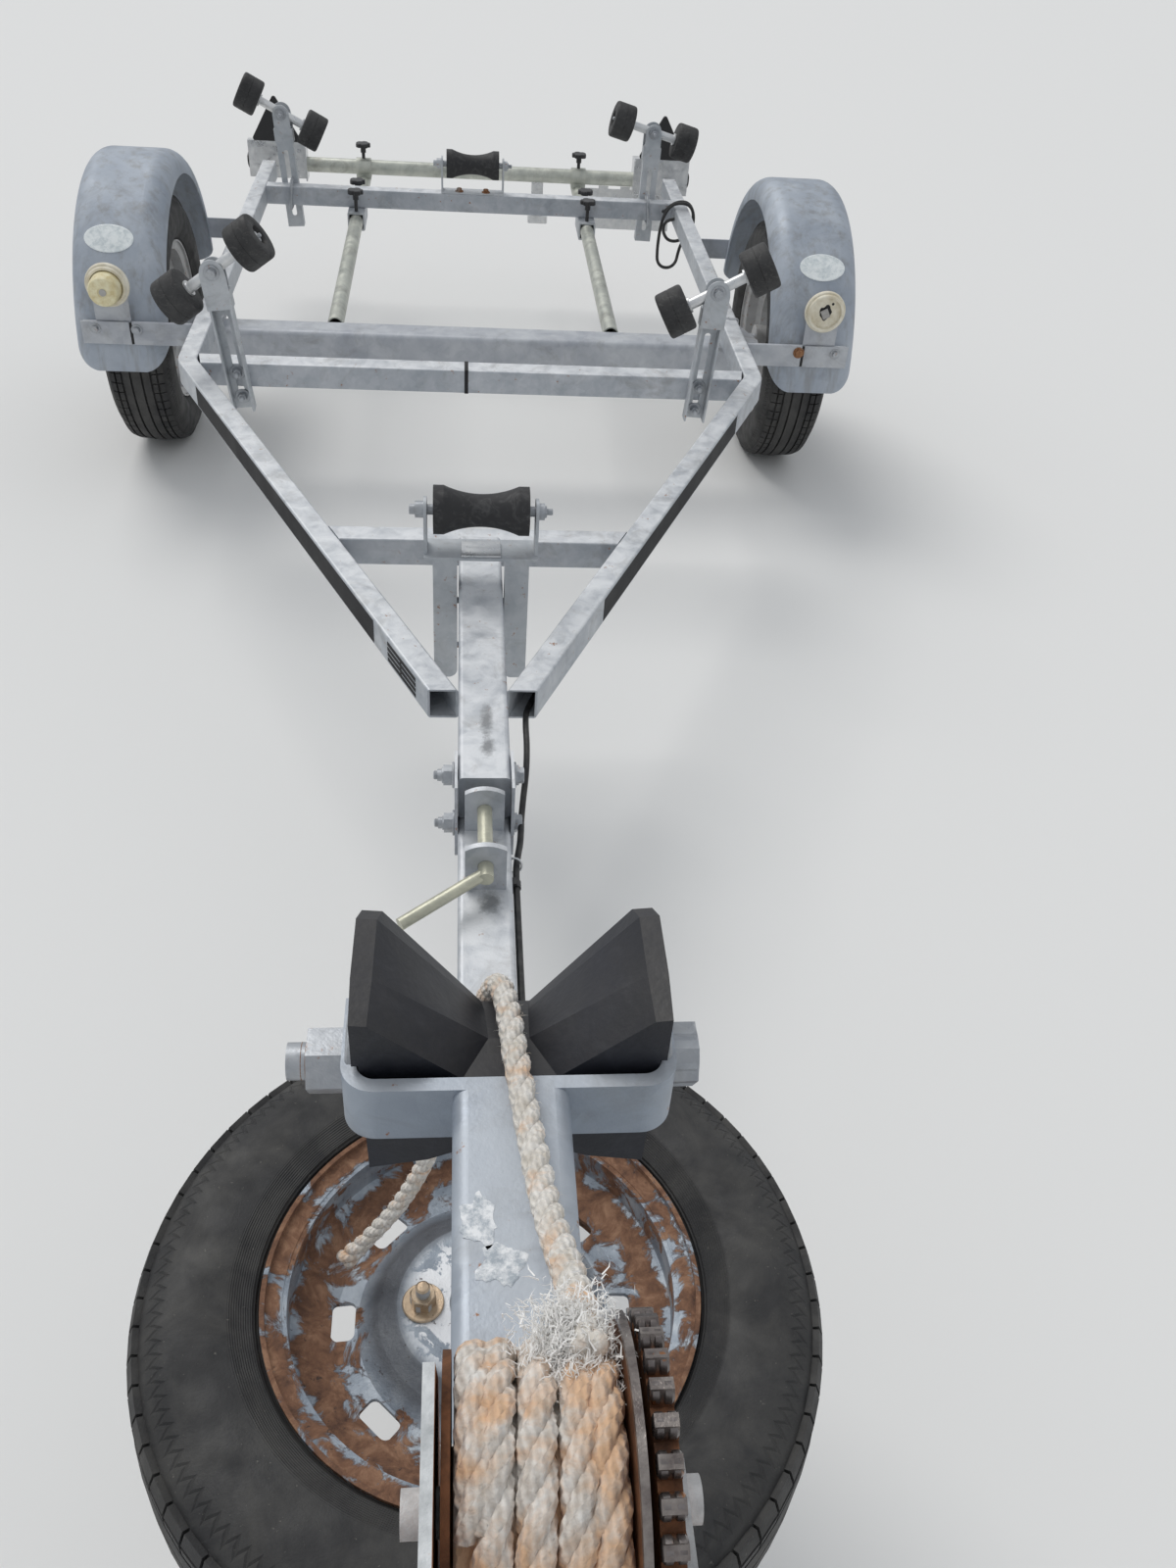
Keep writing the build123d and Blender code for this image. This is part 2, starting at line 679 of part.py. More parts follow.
def slide_sleeves():
    front, rear = REAR_CROSS_Y - SLEEVE_HALF, REAR_CROSS_Y + SLEEVE_HALF
    wall = SLEEVE / 2 - SLIDE_R - SLIDE_CLEAR
    sleeve = box_tube(SLEEVE, SLEEVE, wall, 4, SLIDE_X, slide_z, front, rear)
    for y in knob_ys():
        sleeve = sleeve - bar((SLIDE_X, y, slide_z), (SLIDE_X, y, sleeve_top + 10), 5 + BOLT_CLEAR)
    return both(sleeve)


def knob_ys():
    return (REAR_CROSS_Y - SLEEVE_HALF + 18, REAR_CROSS_Y + SLEEVE_HALF - 18)


def knob(stem):
    """A hand knob with a five-lobed head above its screw's seat, which is at the origin."""
    head = extrude(Plane.XY.offset(stem) * Circle(22), 11)
    for step in range(5):
        angle = radians(step * 72)
        scallop = bar((25 * cos(angle), 25 * sin(angle), stem - 1),
                      (25 * cos(angle), 25 * sin(angle), stem + 12), 7)
        head = head - scallop
    head = chamfer(head.faces().sort_by(Axis.Z)[-1].edges(), 2)
    neck = extrude(Plane.XY.offset(stem - 16) * Circle(8), 16)
    screw = extrude(Circle(5), stem)
    return head + neck + screw


def slide_knobs():
    knobs = []
    for y in knob_ys():
        at = Pos(SLIDE_X, y, slide_z + SLIDE_R + SLIDE_CLEAR)
        knobs += both(at * knob(52))
    return knobs


def slide_tubes():
    tube = bar((SLIDE_X, SLIDE_FRONT, slide_z), (SLIDE_X, BAR_Y + 24, slide_z), SLIDE_R, SLIDE_R - 3)
    clasp = bar((SLIDE_X - 22, BAR_Y, bar_z), (SLIDE_X + 22, BAR_Y, bar_z), BAR_R + 5)
    clasp = clasp + block((SLIDE_X - 22, SLIDE_X + 22), (BAR_Y - 20, BAR_Y + 20), (slide_z + 10, bar_z))
    inside = bar((SLIDE_X, SLIDE_FRONT, slide_z), (SLIDE_X, BAR_Y + 24, slide_z), SLIDE_R - 3)
    clasp = clasp - inside
    clasp = clasp - bar((SLIDE_X - 40, BAR_Y, bar_z), (SLIDE_X + 40, BAR_Y, bar_z), BAR_R + BOLT_CLEAR)
    clasp = clasp - bar((SLIDE_X, BAR_Y, bar_z), (SLIDE_X, BAR_Y, bar_z + 60), 5 + BOLT_CLEAR)
    return both(tube + clasp)


def bar_knobs():
    return both(Pos(SLIDE_X, BAR_Y, bar_z + BAR_R + 0.3) * knob(36))


def lamp_carriers():
    """Zinc-plated plates on the bar's ends, each turned back round its lamp."""
    inner, outer, low, high = lamp_plate
    plate = block((inner, outer), (BAR_Y - 4, BAR_Y), (low, high))
    shelf = block((inner, outer), (BAR_Y - 4, BAR_Y + 30), (high - 4, high))
    cheek = block((inner, inner + 4), (BAR_Y - 30, BAR_Y + 30), (low, high))
    return both(plate + shelf + cheek)


def light_bar_tube():
    return bar((-BAR_HALF, BAR_Y, bar_z), (BAR_HALF, BAR_Y, bar_z), BAR_R, BAR_R - 3)


def rear_lamps():
    inner, outer, low, high = lamp_plate
    middle = (inner + outer) / 2 + 12
    plane = Plane(origin=(middle, BAR_Y + 0.3, (low + high) / 2 - 6), x_dir=(1, 0, 0), z_dir=(0, 1, 0))
    lamp = extrude(plane * RectangleRounded(outer - inner - 14, high - low - 14, 40), 61.7)
    lamp = chamfer(lamp.faces().sort_by(Axis.Y)[-1].edges(), 6)
    return both(lamp)


def reflectors():
    """Triangular reflectors that stand on the lamp plates' top edges."""
    inner, outer, low, high = lamp_plate
    tall = TRIANGLE * sqrt(3) / 2
    x = (inner + outer) / 2
    shape = Polygon((x - TRIANGLE / 2, high), (x + TRIANGLE / 2, high), (x, high + tall), align=None)
    shape = fillet(shape.vertices(), 7)
    plane = Plane(origin=(0, BAR_Y + 4, 0), x_dir=(1, 0, 0), z_dir=(0, -1, 0))
    return both(extrude(plane * shape, 8))


def number_board():
    """A bare galvanised board under the bar's right half, and a hanger with a lamp."""
    left, right, low = BOARD
    top = bar_z - BAR_R
    face = BAR_Y - 4.5
    board = block((left, right), (face - 3, face), (low, top - 8))
    board = board - block((BAR_HALF - 1, right + 1), (face - 4, face + 1), (LAMP_PLATE_LOW - SEAT, top))
    for x in (left + 40, BAR_HALF - 35):
        board = board + block((x, x + 30), (face - 3, face), (low + 10, top - SEAT))
    hanger = block((186, 222), (BAR_Y - 3, BAR_Y), (low + 34, top))
    lamp = block((176, 238), (BAR_Y - 24, BAR_Y + 12), (low + 12, low + 34))
    lamp = fillet(lamp.edges().filter_by(Axis.Z), 8)
    return [board, hanger + lamp]


# Front drawbar with latch, winch post, chock, winch, spare wheel and coupling

def drawbar_front_tube():
    """The tilting tube with its half-round end, and the latch plates welded on its top."""
    tube = box_tube(TUBE, TUBE, TUBE_WALL, TUBE_ROUND, 0, front_tube_z, FRONT_TUBE_FRONT, HINGE_Y)
    half, inner = TUBE / 2, TUBE / 2 - TUBE_WALL
    end = bar((-half, HINGE_Y, hinge_z), (half, HINGE_Y, hinge_z), half)
    end = end - bar((-inner, HINGE_Y, hinge_z), (inner, HINGE_Y, hinge_z), inner)
    end = end & block((-TUBE, TUBE), (HINGE_Y, HINGE_Y + TUBE), (0, 600))
    tube = tube + end
    for plate in latch_plates():
        tube = tube + plate
    return tube - bar((-TUBE, HINGE_Y, hinge_z), (TUBE, HINGE_Y, hinge_z), HINGE_BOLT_R + BOLT_CLEAR)


def latch_plates():
    """Two arch-topped plates on one foot, drilled for the sliding pin."""
    arch = Pos(0, LATCH_H - LATCH_ARCH_R) * Circle(LATCH_ARCH_R)
    outline = Pos(0, LATCH_H / 2) * Rectangle(LATCH_W, LATCH_H) & arch
    outline = outline + Pos(0, LATCH_H / 4) * Rectangle(LATCH_W, LATCH_H / 2)
    outline = outline - Pos(0, PIN_RISE) * Circle(PIN_R + PIN_CLEAR)
    plates = []
    for y in LATCH_Y:
        plane = Plane(origin=(0, y + LATCH_PLATE, front_tube_top), x_dir=(1, 0, 0), z_dir=(0, -1, 0))
        plates.append(extrude(plane * outline, LATCH_PLATE))
    foot = block((-LATCH_W / 2, LATCH_W / 2), (LATCH_Y[1], LATCH_Y[0] + LATCH_PLATE),
                 (front_tube_top, front_tube_top + 4))
    return plates + [foot]


def latch_pin():
    tip = REAR_TUBE_FRONT + PIN_TIP
    pin = bar((0, PIN_HEAD_Y, pin_z), (0, tip, pin_z), PIN_R)
    pin = chamfer(pin.faces().sort_by(Axis.Y)[-1].edges(), 2)
    root = (0, PIN_HEAD_Y + 12, pin_z)
    end = tuple(a + b for a, b in zip(root, HANDLE_REACH))
    return pin + bar(root, end, HANDLE_R)


def winch_post():
    """Post, level arm and the flat-bar fork that holds the bow chock."""
    base = front_tube_top
    arm_z = ARM_TOP - POST / 2
    post_plane = Plane(origin=(0, POST_Y, base))
    wall = POST - 2 * POST_WALL
    post = extrude(post_plane * (RectangleRounded(POST, POST, 7) - Rectangle(wall, wall)),
                   ARM_TOP - POST - base)
    foot = block((-POST / 2, POST / 2), (POST_Y - FOOT_HALF, POST_Y + FOOT_HALF), (base, base + 8))
    foot = foot - block((-wall / 2, wall / 2), (POST_Y - wall / 2, POST_Y + wall / 2), (base - 1, base + 9))
    arm_front = POST_Y - POST / 2
    arm = box_tube(POST, POST, POST_WALL, 8, 0, arm_z, arm_front, BRACKET_Y)
    cap_half = POST / 2 - POST_WALL
    cap = block((-cap_half, cap_half), (arm_front, arm_front + 3), (arm_z - cap_half, arm_z + cap_half))
    half = BRACKET_W / 2
    out = BRACKET_Y + BRACKET_REACH
    path = FilletPolyline((-half + BRACKET_T / 2, out), (-half + BRACKET_T / 2, BRACKET_Y + BRACKET_T / 2),
                          (half - BRACKET_T / 2, BRACKET_Y + BRACKET_T / 2), (half - BRACKET_T / 2, out),
                          radius=14)
    path = Pos(0, 0, ARM_TOP - BRACKET_H / 2) * path
    section = Plane(origin=(-half + BRACKET_T / 2, out, ARM_TOP - BRACKET_H / 2), x_dir=(1, 0, 0),
                    z_dir=(0, -1, 0))
    fork = sweep(section * Rectangle(BRACKET_T, BRACKET_H), path=path)
    hole = bar((-half - 5, CHOCK_Y, CHOCK_Z), (half + 5, CHOCK_Y, CHOCK_Z), CHOCK_BOLT_R + BOLT_CLEAR)
    return post + foot + arm + cap + (fork - hole)


def bow_chock():
    """Moulded V block with a rim along each wing: four stations from the bracket to its rear."""
    arm_gap = BRACKET_W / 2 - BRACKET_T - 1.5
    shelf = ARM_TOP + 4
    bottom = ARM_TOP - 85
    # columns: Y from the bolt, half width, rim's height over the arm, its width, valley's
    # half width and its height over the arm
    stations = (
        (-23, 81.5, 36, 9, 25, -8), (5, 82, 40, 11, 11, -10), (42, 81, 45, 11, 12.5, -30),
        (55, 79, 38, 11, 14, -38),
    )
    sections = []
    for y, half, rise, rim_w, valley, depth in stations:
        top = ARM_TOP + rise
        low = ARM_TOP + depth
        points = [(half, top), (half - rim_w, top - 1), (valley, low), (-valley, low),
                  (rim_w - half, top - 1), (-half, top),
                  (-half, shelf), (-arm_gap, shelf), (-arm_gap + 2, bottom), (-arm_gap + 34, bottom + 6),
                  (0, bottom + 26),
                  (arm_gap - 34, bottom + 6), (arm_gap - 2, bottom), (arm_gap, shelf), (half, shelf)]
        outline = make_face(Polyline(*points, close=True))
        sections.append(Plane(origin=(0, CHOCK_Y + y, 0), x_dir=(1, 0, 0), z_dir=(0, -1, 0)) * outline)
    block_shape = loft(sections, ruled=True)
    return block_shape - bar((-BRACKET_W, CHOCK_Y, CHOCK_Z), (BRACKET_W, CHOCK_Y, CHOCK_Z),
                             CHOCK_BOLT_R + BOLT_CLEAR)


def chock_bolt():
    half = BRACKET_W / 2
    bolt = bar((-half - 30, CHOCK_Y, CHOCK_Z), (half + 14, CHOCK_Y, CHOCK_Z), CHOCK_BOLT_R)
    nut = hex_bar((-half - 19, CHOCK_Y, CHOCK_Z), 19, 32)
    head = hex_bar((half, CHOCK_Y, CHOCK_Z), 14, 32)
    return bolt + nut + head


def winch_frame():
    """Base plate with two cheeks: a tall left one and a low right one beside the gear."""
    front, rear = DRUM_Y - 68, DRUM_Y + 50
    frame = block((CHEEK_LEFT - 4, CHEEK_RIGHT + 4), (front, rear), (ARM_TOP, ARM_TOP + 4))
    tall = ((rear, DRUM_Z - 8), (DRUM_Y + 22, DRUM_Z + 62), (front + 12, DRUM_Z + 62), (front, DRUM_Z + 40))
    short = ((rear, DRUM_Z - 46), (DRUM_Y + 18, DRUM_Z - 2), (DRUM_Y + 8, DRUM_Z + 14),
             (DRUM_Y - 28, DRUM_Z + 15), (front, DRUM_Z - 8))
    for x, upper in ((CHEEK_LEFT - 4, tall), (CHEEK_RIGHT, short)):
        outline = Polygon((front, ARM_TOP), (rear, ARM_TOP), *upper, align=None)
        frame = frame + extrude(Plane(origin=(x, 0, 0), x_dir=(0, 1, 0), z_dir=(1, 0, 0)) * outline, 4)
    shaft = bar((CHEEK_LEFT - 12, DRUM_Y, DRUM_Z), (CHEEK_RIGHT + 10, DRUM_Y, DRUM_Z), DRUM_SHAFT_R)
    x, y, z = crank_start()
    return frame + shaft - bar((x, y, z), (CHEEK_RIGHT + 30, y, z), CRANK_R + BOLT_CLEAR)


def crank_start():
    return (CHEEK_LEFT - 12, DRUM_Y - 50, ARM_TOP + 15)


def winch_drum():
    """Drum core with its two flanges and the gear rim outside the right flange."""
    bore = DRUM_SHAFT_R + BOLT_CLEAR
    half = DRUM_HALF
    core = ring_profile([
        (bore, -half - 3), (ROPE_PACK_R - 4, -half - 3), (ROPE_PACK_R - 4, -half), (DRUM_CORE_R, -half),
        (DRUM_CORE_R, half), (FLANGE_DRUM_R, half), (FLANGE_DRUM_R, half + 3), (bore, half + 3),
    ])
    gear = extrude(Plane.YZ.offset(half + 6) * (Circle(GEAR_ROOT_R) - Circle(bore)), GEAR_W)
    boss = extrude(Plane.YZ.offset(half + 3) * (Circle(24) - Circle(bore)), 4)
    base, tip, deep = 4.2, 2.2, 6.5
    tooth = Polygon((-base, GEAR_ROOT_R - 1), (base, GEAR_ROOT_R - 1), (tip, GEAR_ROOT_R + deep),
                    (-tip, GEAR_ROOT_R + deep), align=None)
    for step in range(GEAR_TEETH):
        turn = Rot(step * 360 / GEAR_TEETH, 0, 0)
        gear = gear + turn * extrude(Plane.YZ.offset(half + 6) * tooth, GEAR_W)
    return Pos(0, DRUM_Y, DRUM_Z) * (core + boss + gear)


def wound_rope():
    """The rope's layers on the drum, as one closed form that the turns lie in."""
    half = DRUM_HALF - 0.5
    pack = ring_profile([
        (DRUM_CORE_R + 0.2, -half), (ROPE_PACK_R - 5, -half), (ROPE_PACK_R, -half + 8),
        (ROPE_PACK_R, half - 8), (ROPE_PACK_R - 5, half), (DRUM_CORE_R + 0.2, half),
    ])
    return Pos(0, DRUM_Y, DRUM_Z) * pack


def winch_crank():
    """Pinion shaft through both cheeks, with a cranked handle at the right."""
    x, y, z = crank_start()
    end = CHEEK_RIGHT + 22
    hand_y, hand_z = y - 90, z - 112
    path = FilletPolyline((x, y, z), (end, y, z), (end, hand_y, hand_z), (end + 92, hand_y, hand_z),
                          radius=2 * CRANK_R)
    rod = sweep(Plane(origin=(x, y, z), z_dir=(1, 0, 0)) * Circle(CRANK_R), path=path)
    return rod + bar((end + 3 * CRANK_R, hand_y, hand_z), (end + 90, hand_y, hand_z), 13)


spare_z = front_tube_top + SEAT + TYRE_W / 2


def spare_place():
    return Pos(SPARE_X, SPARE_Y, spare_z) * Rot(0, -90, 0)


def spare_carrier():
    """A bent strap on the tube under the wheel's disc, with two of its studs and nuts."""
    top = spare_z + DISC_OUT - DISC_WALL - SEAT
    left, right, half = SPARE_X - 66, SPARE_X + 66, 26
    strap = block((left, right), (SPARE_Y - half, SPARE_Y + half), (front_tube_top, top))
    strap = strap - block((left + 4, right - 4), (SPARE_Y - half - 1, SPARE_Y + half + 1),
                          (front_tube_top + 4, top - 4))
    for side in (-1, 1):
        x = SPARE_X + side * BOLT_CIRCLE_R
        stud_top = spare_z + DISC_OUT + 26
        nut = extrude(RegularPolygon(9.5, 6, major_radius=False), 11)
        nut = Pos(x, SPARE_Y, spare_z + DISC_OUT + SEAT) * nut
        strap = strap + bar((x, SPARE_Y, top - 2), (x, SPARE_Y, stud_top), 6) + nut
    return strap


def coupling_head():
    """Pressed coupling: a sleeve over the tube's end that runs out to the ball cup."""
    sleeve_w, wall = TUBE + 8, 3.7
    body = box_tube(sleeve_w, sleeve_w, wall, 8, 0, front_tube_z, FRONT_TUBE_FRONT - 6, FRONT_TUBE_FRONT + 90)
    y = FRONT_TUBE_FRONT - 6
    plane = Plane(origin=(0, y, front_tube_z), x_dir=(1, 0, 0), z_dir=(0, -1, 0))
    wide = plane * RectangleRounded(sleeve_w, sleeve_w, 8)
    slim = plane.offset(y - COUPLING_Y - 12) * Pos(0, 8) * RectangleRounded(56, 46, 8)
    neck = loft([wide, slim], ruled=True)
    ball_z = front_tube_z + 4
    cup = Pos(0, COUPLING_Y, ball_z) * Sphere(38)
    cup = cup & block((-60, 60), (COUPLING_Y - 60, COUPLING_Y + 60), (ball_z - 22, ball_z + 34))
    head = body + neck + cup
    head = head - Pos(0, COUPLING_Y, ball_z) * Sphere(BALL_R + 0.4)
    return head - block((-BALL_R + 3, BALL_R - 3), (COUPLING_Y - 22, COUPLING_Y + 22),
                        (ball_z - 40, ball_z - 6))


def coupling_lever():
    ball_z = front_tube_z + 4
    top = ball_z + 34.3
    path = Polyline((COUPLING_Y - 4, top), (COUPLING_Y + 26, top + 24), (COUPLING_Y + 120, top + 30),
                    (COUPLING_Y + 128, top + 22), (COUPLING_Y + 32, top + 14), (COUPLING_Y + 14, top),
                    close=True)
    plane = Plane(origin=(-13, 0, 0), x_dir=(0, 1, 0), z_dir=(1, 0, 0))
    return extrude(plane * make_face(path), 26)


# Jockey wheel on a clamp at the drawbar's right side
crown_z = 2 * JOCKEY_WHEEL_R + 8


def jockey_clamp():
    """A block bolted to the tube's side and closed round the jockey wheel's tube."""
    inner, outer = TUBE / 2 + SEAT, JOCKEY_X + 33
    low, high = front_tube_z - 27, front_tube_z + 27
    clamp = block((inner, outer), (JOCKEY_Y - 33, JOCKEY_Y + 33), (low, high))
    clamp = fillet(clamp.edges().filter_by(Axis.Z).group_by(Axis.X)[-1], 28)
    clamp = clamp - bar((JOCKEY_X, JOCKEY_Y, low - 1), (JOCKEY_X, JOCKEY_Y, high + 1),
                        JOCKEY_TUBE_R + BOLT_CLEAR)
    clamp = clamp - block((JOCKEY_X + 20, outer + 1), (JOCKEY_Y - 2, JOCKEY_Y + 2), (low - 1, high + 1))
    return clamp


def jockey_tube():
    """Outer tube with its cap, and the crank on top."""
    outer = bar((JOCKEY_X, JOCKEY_Y, JOCKEY_LOW), (JOCKEY_X, JOCKEY_Y, JOCKEY_HIGH), JOCKEY_TUBE_R,
                JOCKEY_LEG_R + JOCKEY_CLEAR)
    cap = bar((JOCKEY_X, JOCKEY_Y, JOCKEY_HIGH), (JOCKEY_X, JOCKEY_Y, JOCKEY_HIGH + 26), JOCKEY_TUBE_R + 3)
    arm_z = JOCKEY_HIGH + 44
    stem = bar((JOCKEY_X, JOCKEY_Y, JOCKEY_HIGH + 26), (JOCKEY_X, JOCKEY_Y, arm_z), 9)
    arm = block((JOCKEY_X - 10, JOCKEY_X + 10), (JOCKEY_Y - 120, JOCKEY_Y + 14), (arm_z, arm_z + 8))
    arm = fillet(arm.edges().filter_by(Axis.Z), 9)
    grip = bar((JOCKEY_X, JOCKEY_Y - 108, arm_z), (JOCKEY_X, JOCKEY_Y - 108, arm_z + 84), 11)
    return outer + cap + stem + arm + grip


def jockey_leg():
    leg = bar((JOCKEY_X, JOCKEY_Y, crown_z + 14), (JOCKEY_X, JOCKEY_Y, JOCKEY_HIGH - 72), JOCKEY_LEG_R)
    return leg + bar((JOCKEY_X, JOCKEY_Y, crown_z - 6), (JOCKEY_X, JOCKEY_Y, crown_z + 15), SWIVEL_R)


def jockey_fork():
    """Swivel fork: a crown under the leg and two arms out to the trailing wheel's axle."""
    half = JOCKEY_WHEEL_W / 2 + 9
    back = 24 + JOCKEY_TRAIL / 2
    fork = bar((0, 0, crown_z), (0, 0, crown_z + 13.5), 30)
    fork = fork + block((-half - 4, half + 4), (-24, back), (crown_z, crown_z + 5))
    outline = make_hull([
        Pos(x, z) * CenterArc((0, 0), radius, 0, 360)
        for x, z, radius in ((-20, crown_z + 1, 4), (back - 4, crown_z + 1, 4),
                             (JOCKEY_TRAIL, JOCKEY_WHEEL_R, 15))
    ])
    for side in (-1, 1):
        near = min(side * half, side * (half + 4))
        plane = Plane(origin=(near, 0, 0), x_dir=(0, 1, 0), z_dir=(1, 0, 0))
        fork = fork + extrude(plane * outline, 4)
    fork = fork + bar((-half - 10, JOCKEY_TRAIL, JOCKEY_WHEEL_R), (half + 10, JOCKEY_TRAIL, JOCKEY_WHEEL_R),
                      8)
    fork = fork - bar((0, 0, crown_z - 10), (0, 0, crown_z + 20), SWIVEL_R + BOLT_CLEAR)
    return Pos(JOCKEY_X, JOCKEY_Y, 0) * fork


def jockey_wheel():
    half = JOCKEY_WHEEL_W / 2
    bore = 8 + BOLT_CLEAR
    wheel = ring_profile([
        (bore, -half - 3), (22, -half - 3), (22, -half + 10), (58, -half + 12), (62, -half + 2), (80, -half),
        (94, -half + 5), (JOCKEY_WHEEL_R, -half + 16), (JOCKEY_WHEEL_R, half - 16), (94, half - 5),
        (80, half),
        (62, half - 2), (58, half - 12), (22, half - 10), (22, half + 3), (bore, half + 3),
    ])
    return Pos(JOCKEY_X, JOCKEY_Y + JOCKEY_TRAIL, JOCKEY_WHEEL_R) * wheel


# Free ends: the winch rope's tail, the lead along the drawbar with its plug, and the
# spare loops of lead over the right side member. Points are chosen by hand.
ROPE_ROUTE = (
    (13, -2472, 1086), (12, -2438, 1061), (10, -2400, 1026), (6, -2356, 998), (2, -2308, 984),
    (-3, -2264, 981),
    (-5, -2226, 972), (-8, -2194, 956), (-12, -2168, 926), (-20, -2151, 876), (-28, -2134, 822),
    (-35, -2116, 767),
    (-43, -2102, 710), (-53, -2093, 655), (-66, -2087, 603), (-84, -2084, 556), (-106, -2083, 516),
    (-128, -2082, 480),
)
LOOP_ROUTE = (
    (554, -20.8, 398.1), (555, -42, 402), (566, -54, 422), (590, -56, 437), (620, -57, 436), (637, -58, 412),
    (638, -59, 380), (627, -60, 350), (609, -61, 320), (603, -61, 293), (600, -61, 268), (584, -61.5, 252),
    (560, -62, 252), (544, -62.5, 268), (541.5, -63, 293), (541, -64, 320), (543, -65, 360), (550, -67, 400),
    (568, -69, 430), (596, -71, 438),
    (623, -72, 433), (637, -73, 408), (637, -74, 374), (621, -75, 348), (595, -76, 332), (568, -77, 334),
    (552, -78, 354), (550, -78.5, 376), (560, -79, 391), (579.6, -79, 394.8),
)
LEAD_REAR_ROUTE = (
    (82, -1112, 377.6), (64, -1152, 377.6), (62, -1190, 376), (63, -1228, 368), (61, -1268, 350),
    (55, -1308, 329), (52, -1340.4, 322.5),
)
LEAD_FRONT_ROUTE = (
    (52, -1343.4, 322.5), (50, -1384, 326), (44, -1422, 331), (41, -1452, 332), (41, -1506, 331.9),
    (41.4, -2330, 327),
    (43, -2420, 324), (49, -2500, 321.4), (59, -2560, 321), (59, -2606, 321),
)


def cord(route, radius):
    """A tube along a route of straight runs joined by the widest arcs that fit."""
    points = [Vector(*p) for p in route]
    runs = [(b - a) for a, b in zip(points, points[1:])]
    bends = []
    for first, second in zip(runs, runs[1:]):
        turn = radians(first.get_angle(second))
        bends.append(0.45 * min(first.length, second.length) / tan(turn / 2))
    path = FilletPolyline(*points, radius=bends)
    start = Plane(origin=points[0], z_dir=runs[0])
    tube = sweep(start * Circle(radius), path=path)
    ratio = tube.volume / (path.length * pi * radius**2)
    print("cord", round(path.length), "mm, volume ratio", round(ratio, 4), "radii",
          [round(bend) for bend in bends])
    return tube


def lead_fittings():
    """Clips that hold the lead to the drawbar's side, and its plug in a ring holder."""
    pieces = []
    side = TUBE / 2
    for y in CLIP_Y:
        x, z = lead_at(y)
        clip = bar((x, y - 6, z), (x, y + 6, z), x - side) + block((side, x), (y - 6, y + 6), (z - 9, z + 9))
        pieces.append(clip - bar((x, y - 7, z), (x, y + 7, z), LEAD_R + 0.3))
    x, z = PLUG_AT
    rear, front = PLUG_Y
    plug = bar((x, rear, z), (x, front, z), PLUG_R) + bar((x, front, z), (x, front - 8, z), PLUG_R + 3)
    middle = (rear + front) / 2
    pad = block((side, side + 4), (middle - 12, middle + 12), (z - 24, z + 24))
    holder = pad + bar((x, middle - 12, z), (x, middle + 12, z), PLUG_R + 3)
    holder = holder - bar((x, rear, z), (x, front, z), PLUG_R + 0.1)
    return pieces + [plug, holder & block((side, 200), (-3000, 0), (0, 600))]


def lead_at(y):
    """Where the lead's route passes a place along the drawbar."""
    for (xa, ya, za), (xb, yb, zb) in zip(LEAD_FRONT_ROUTE, LEAD_FRONT_ROUTE[1:]):
        if yb <= y <= ya:
            share = (y - ya) / (yb - ya)
            return xa + share * (xb - xa), za + share * (zb - za)


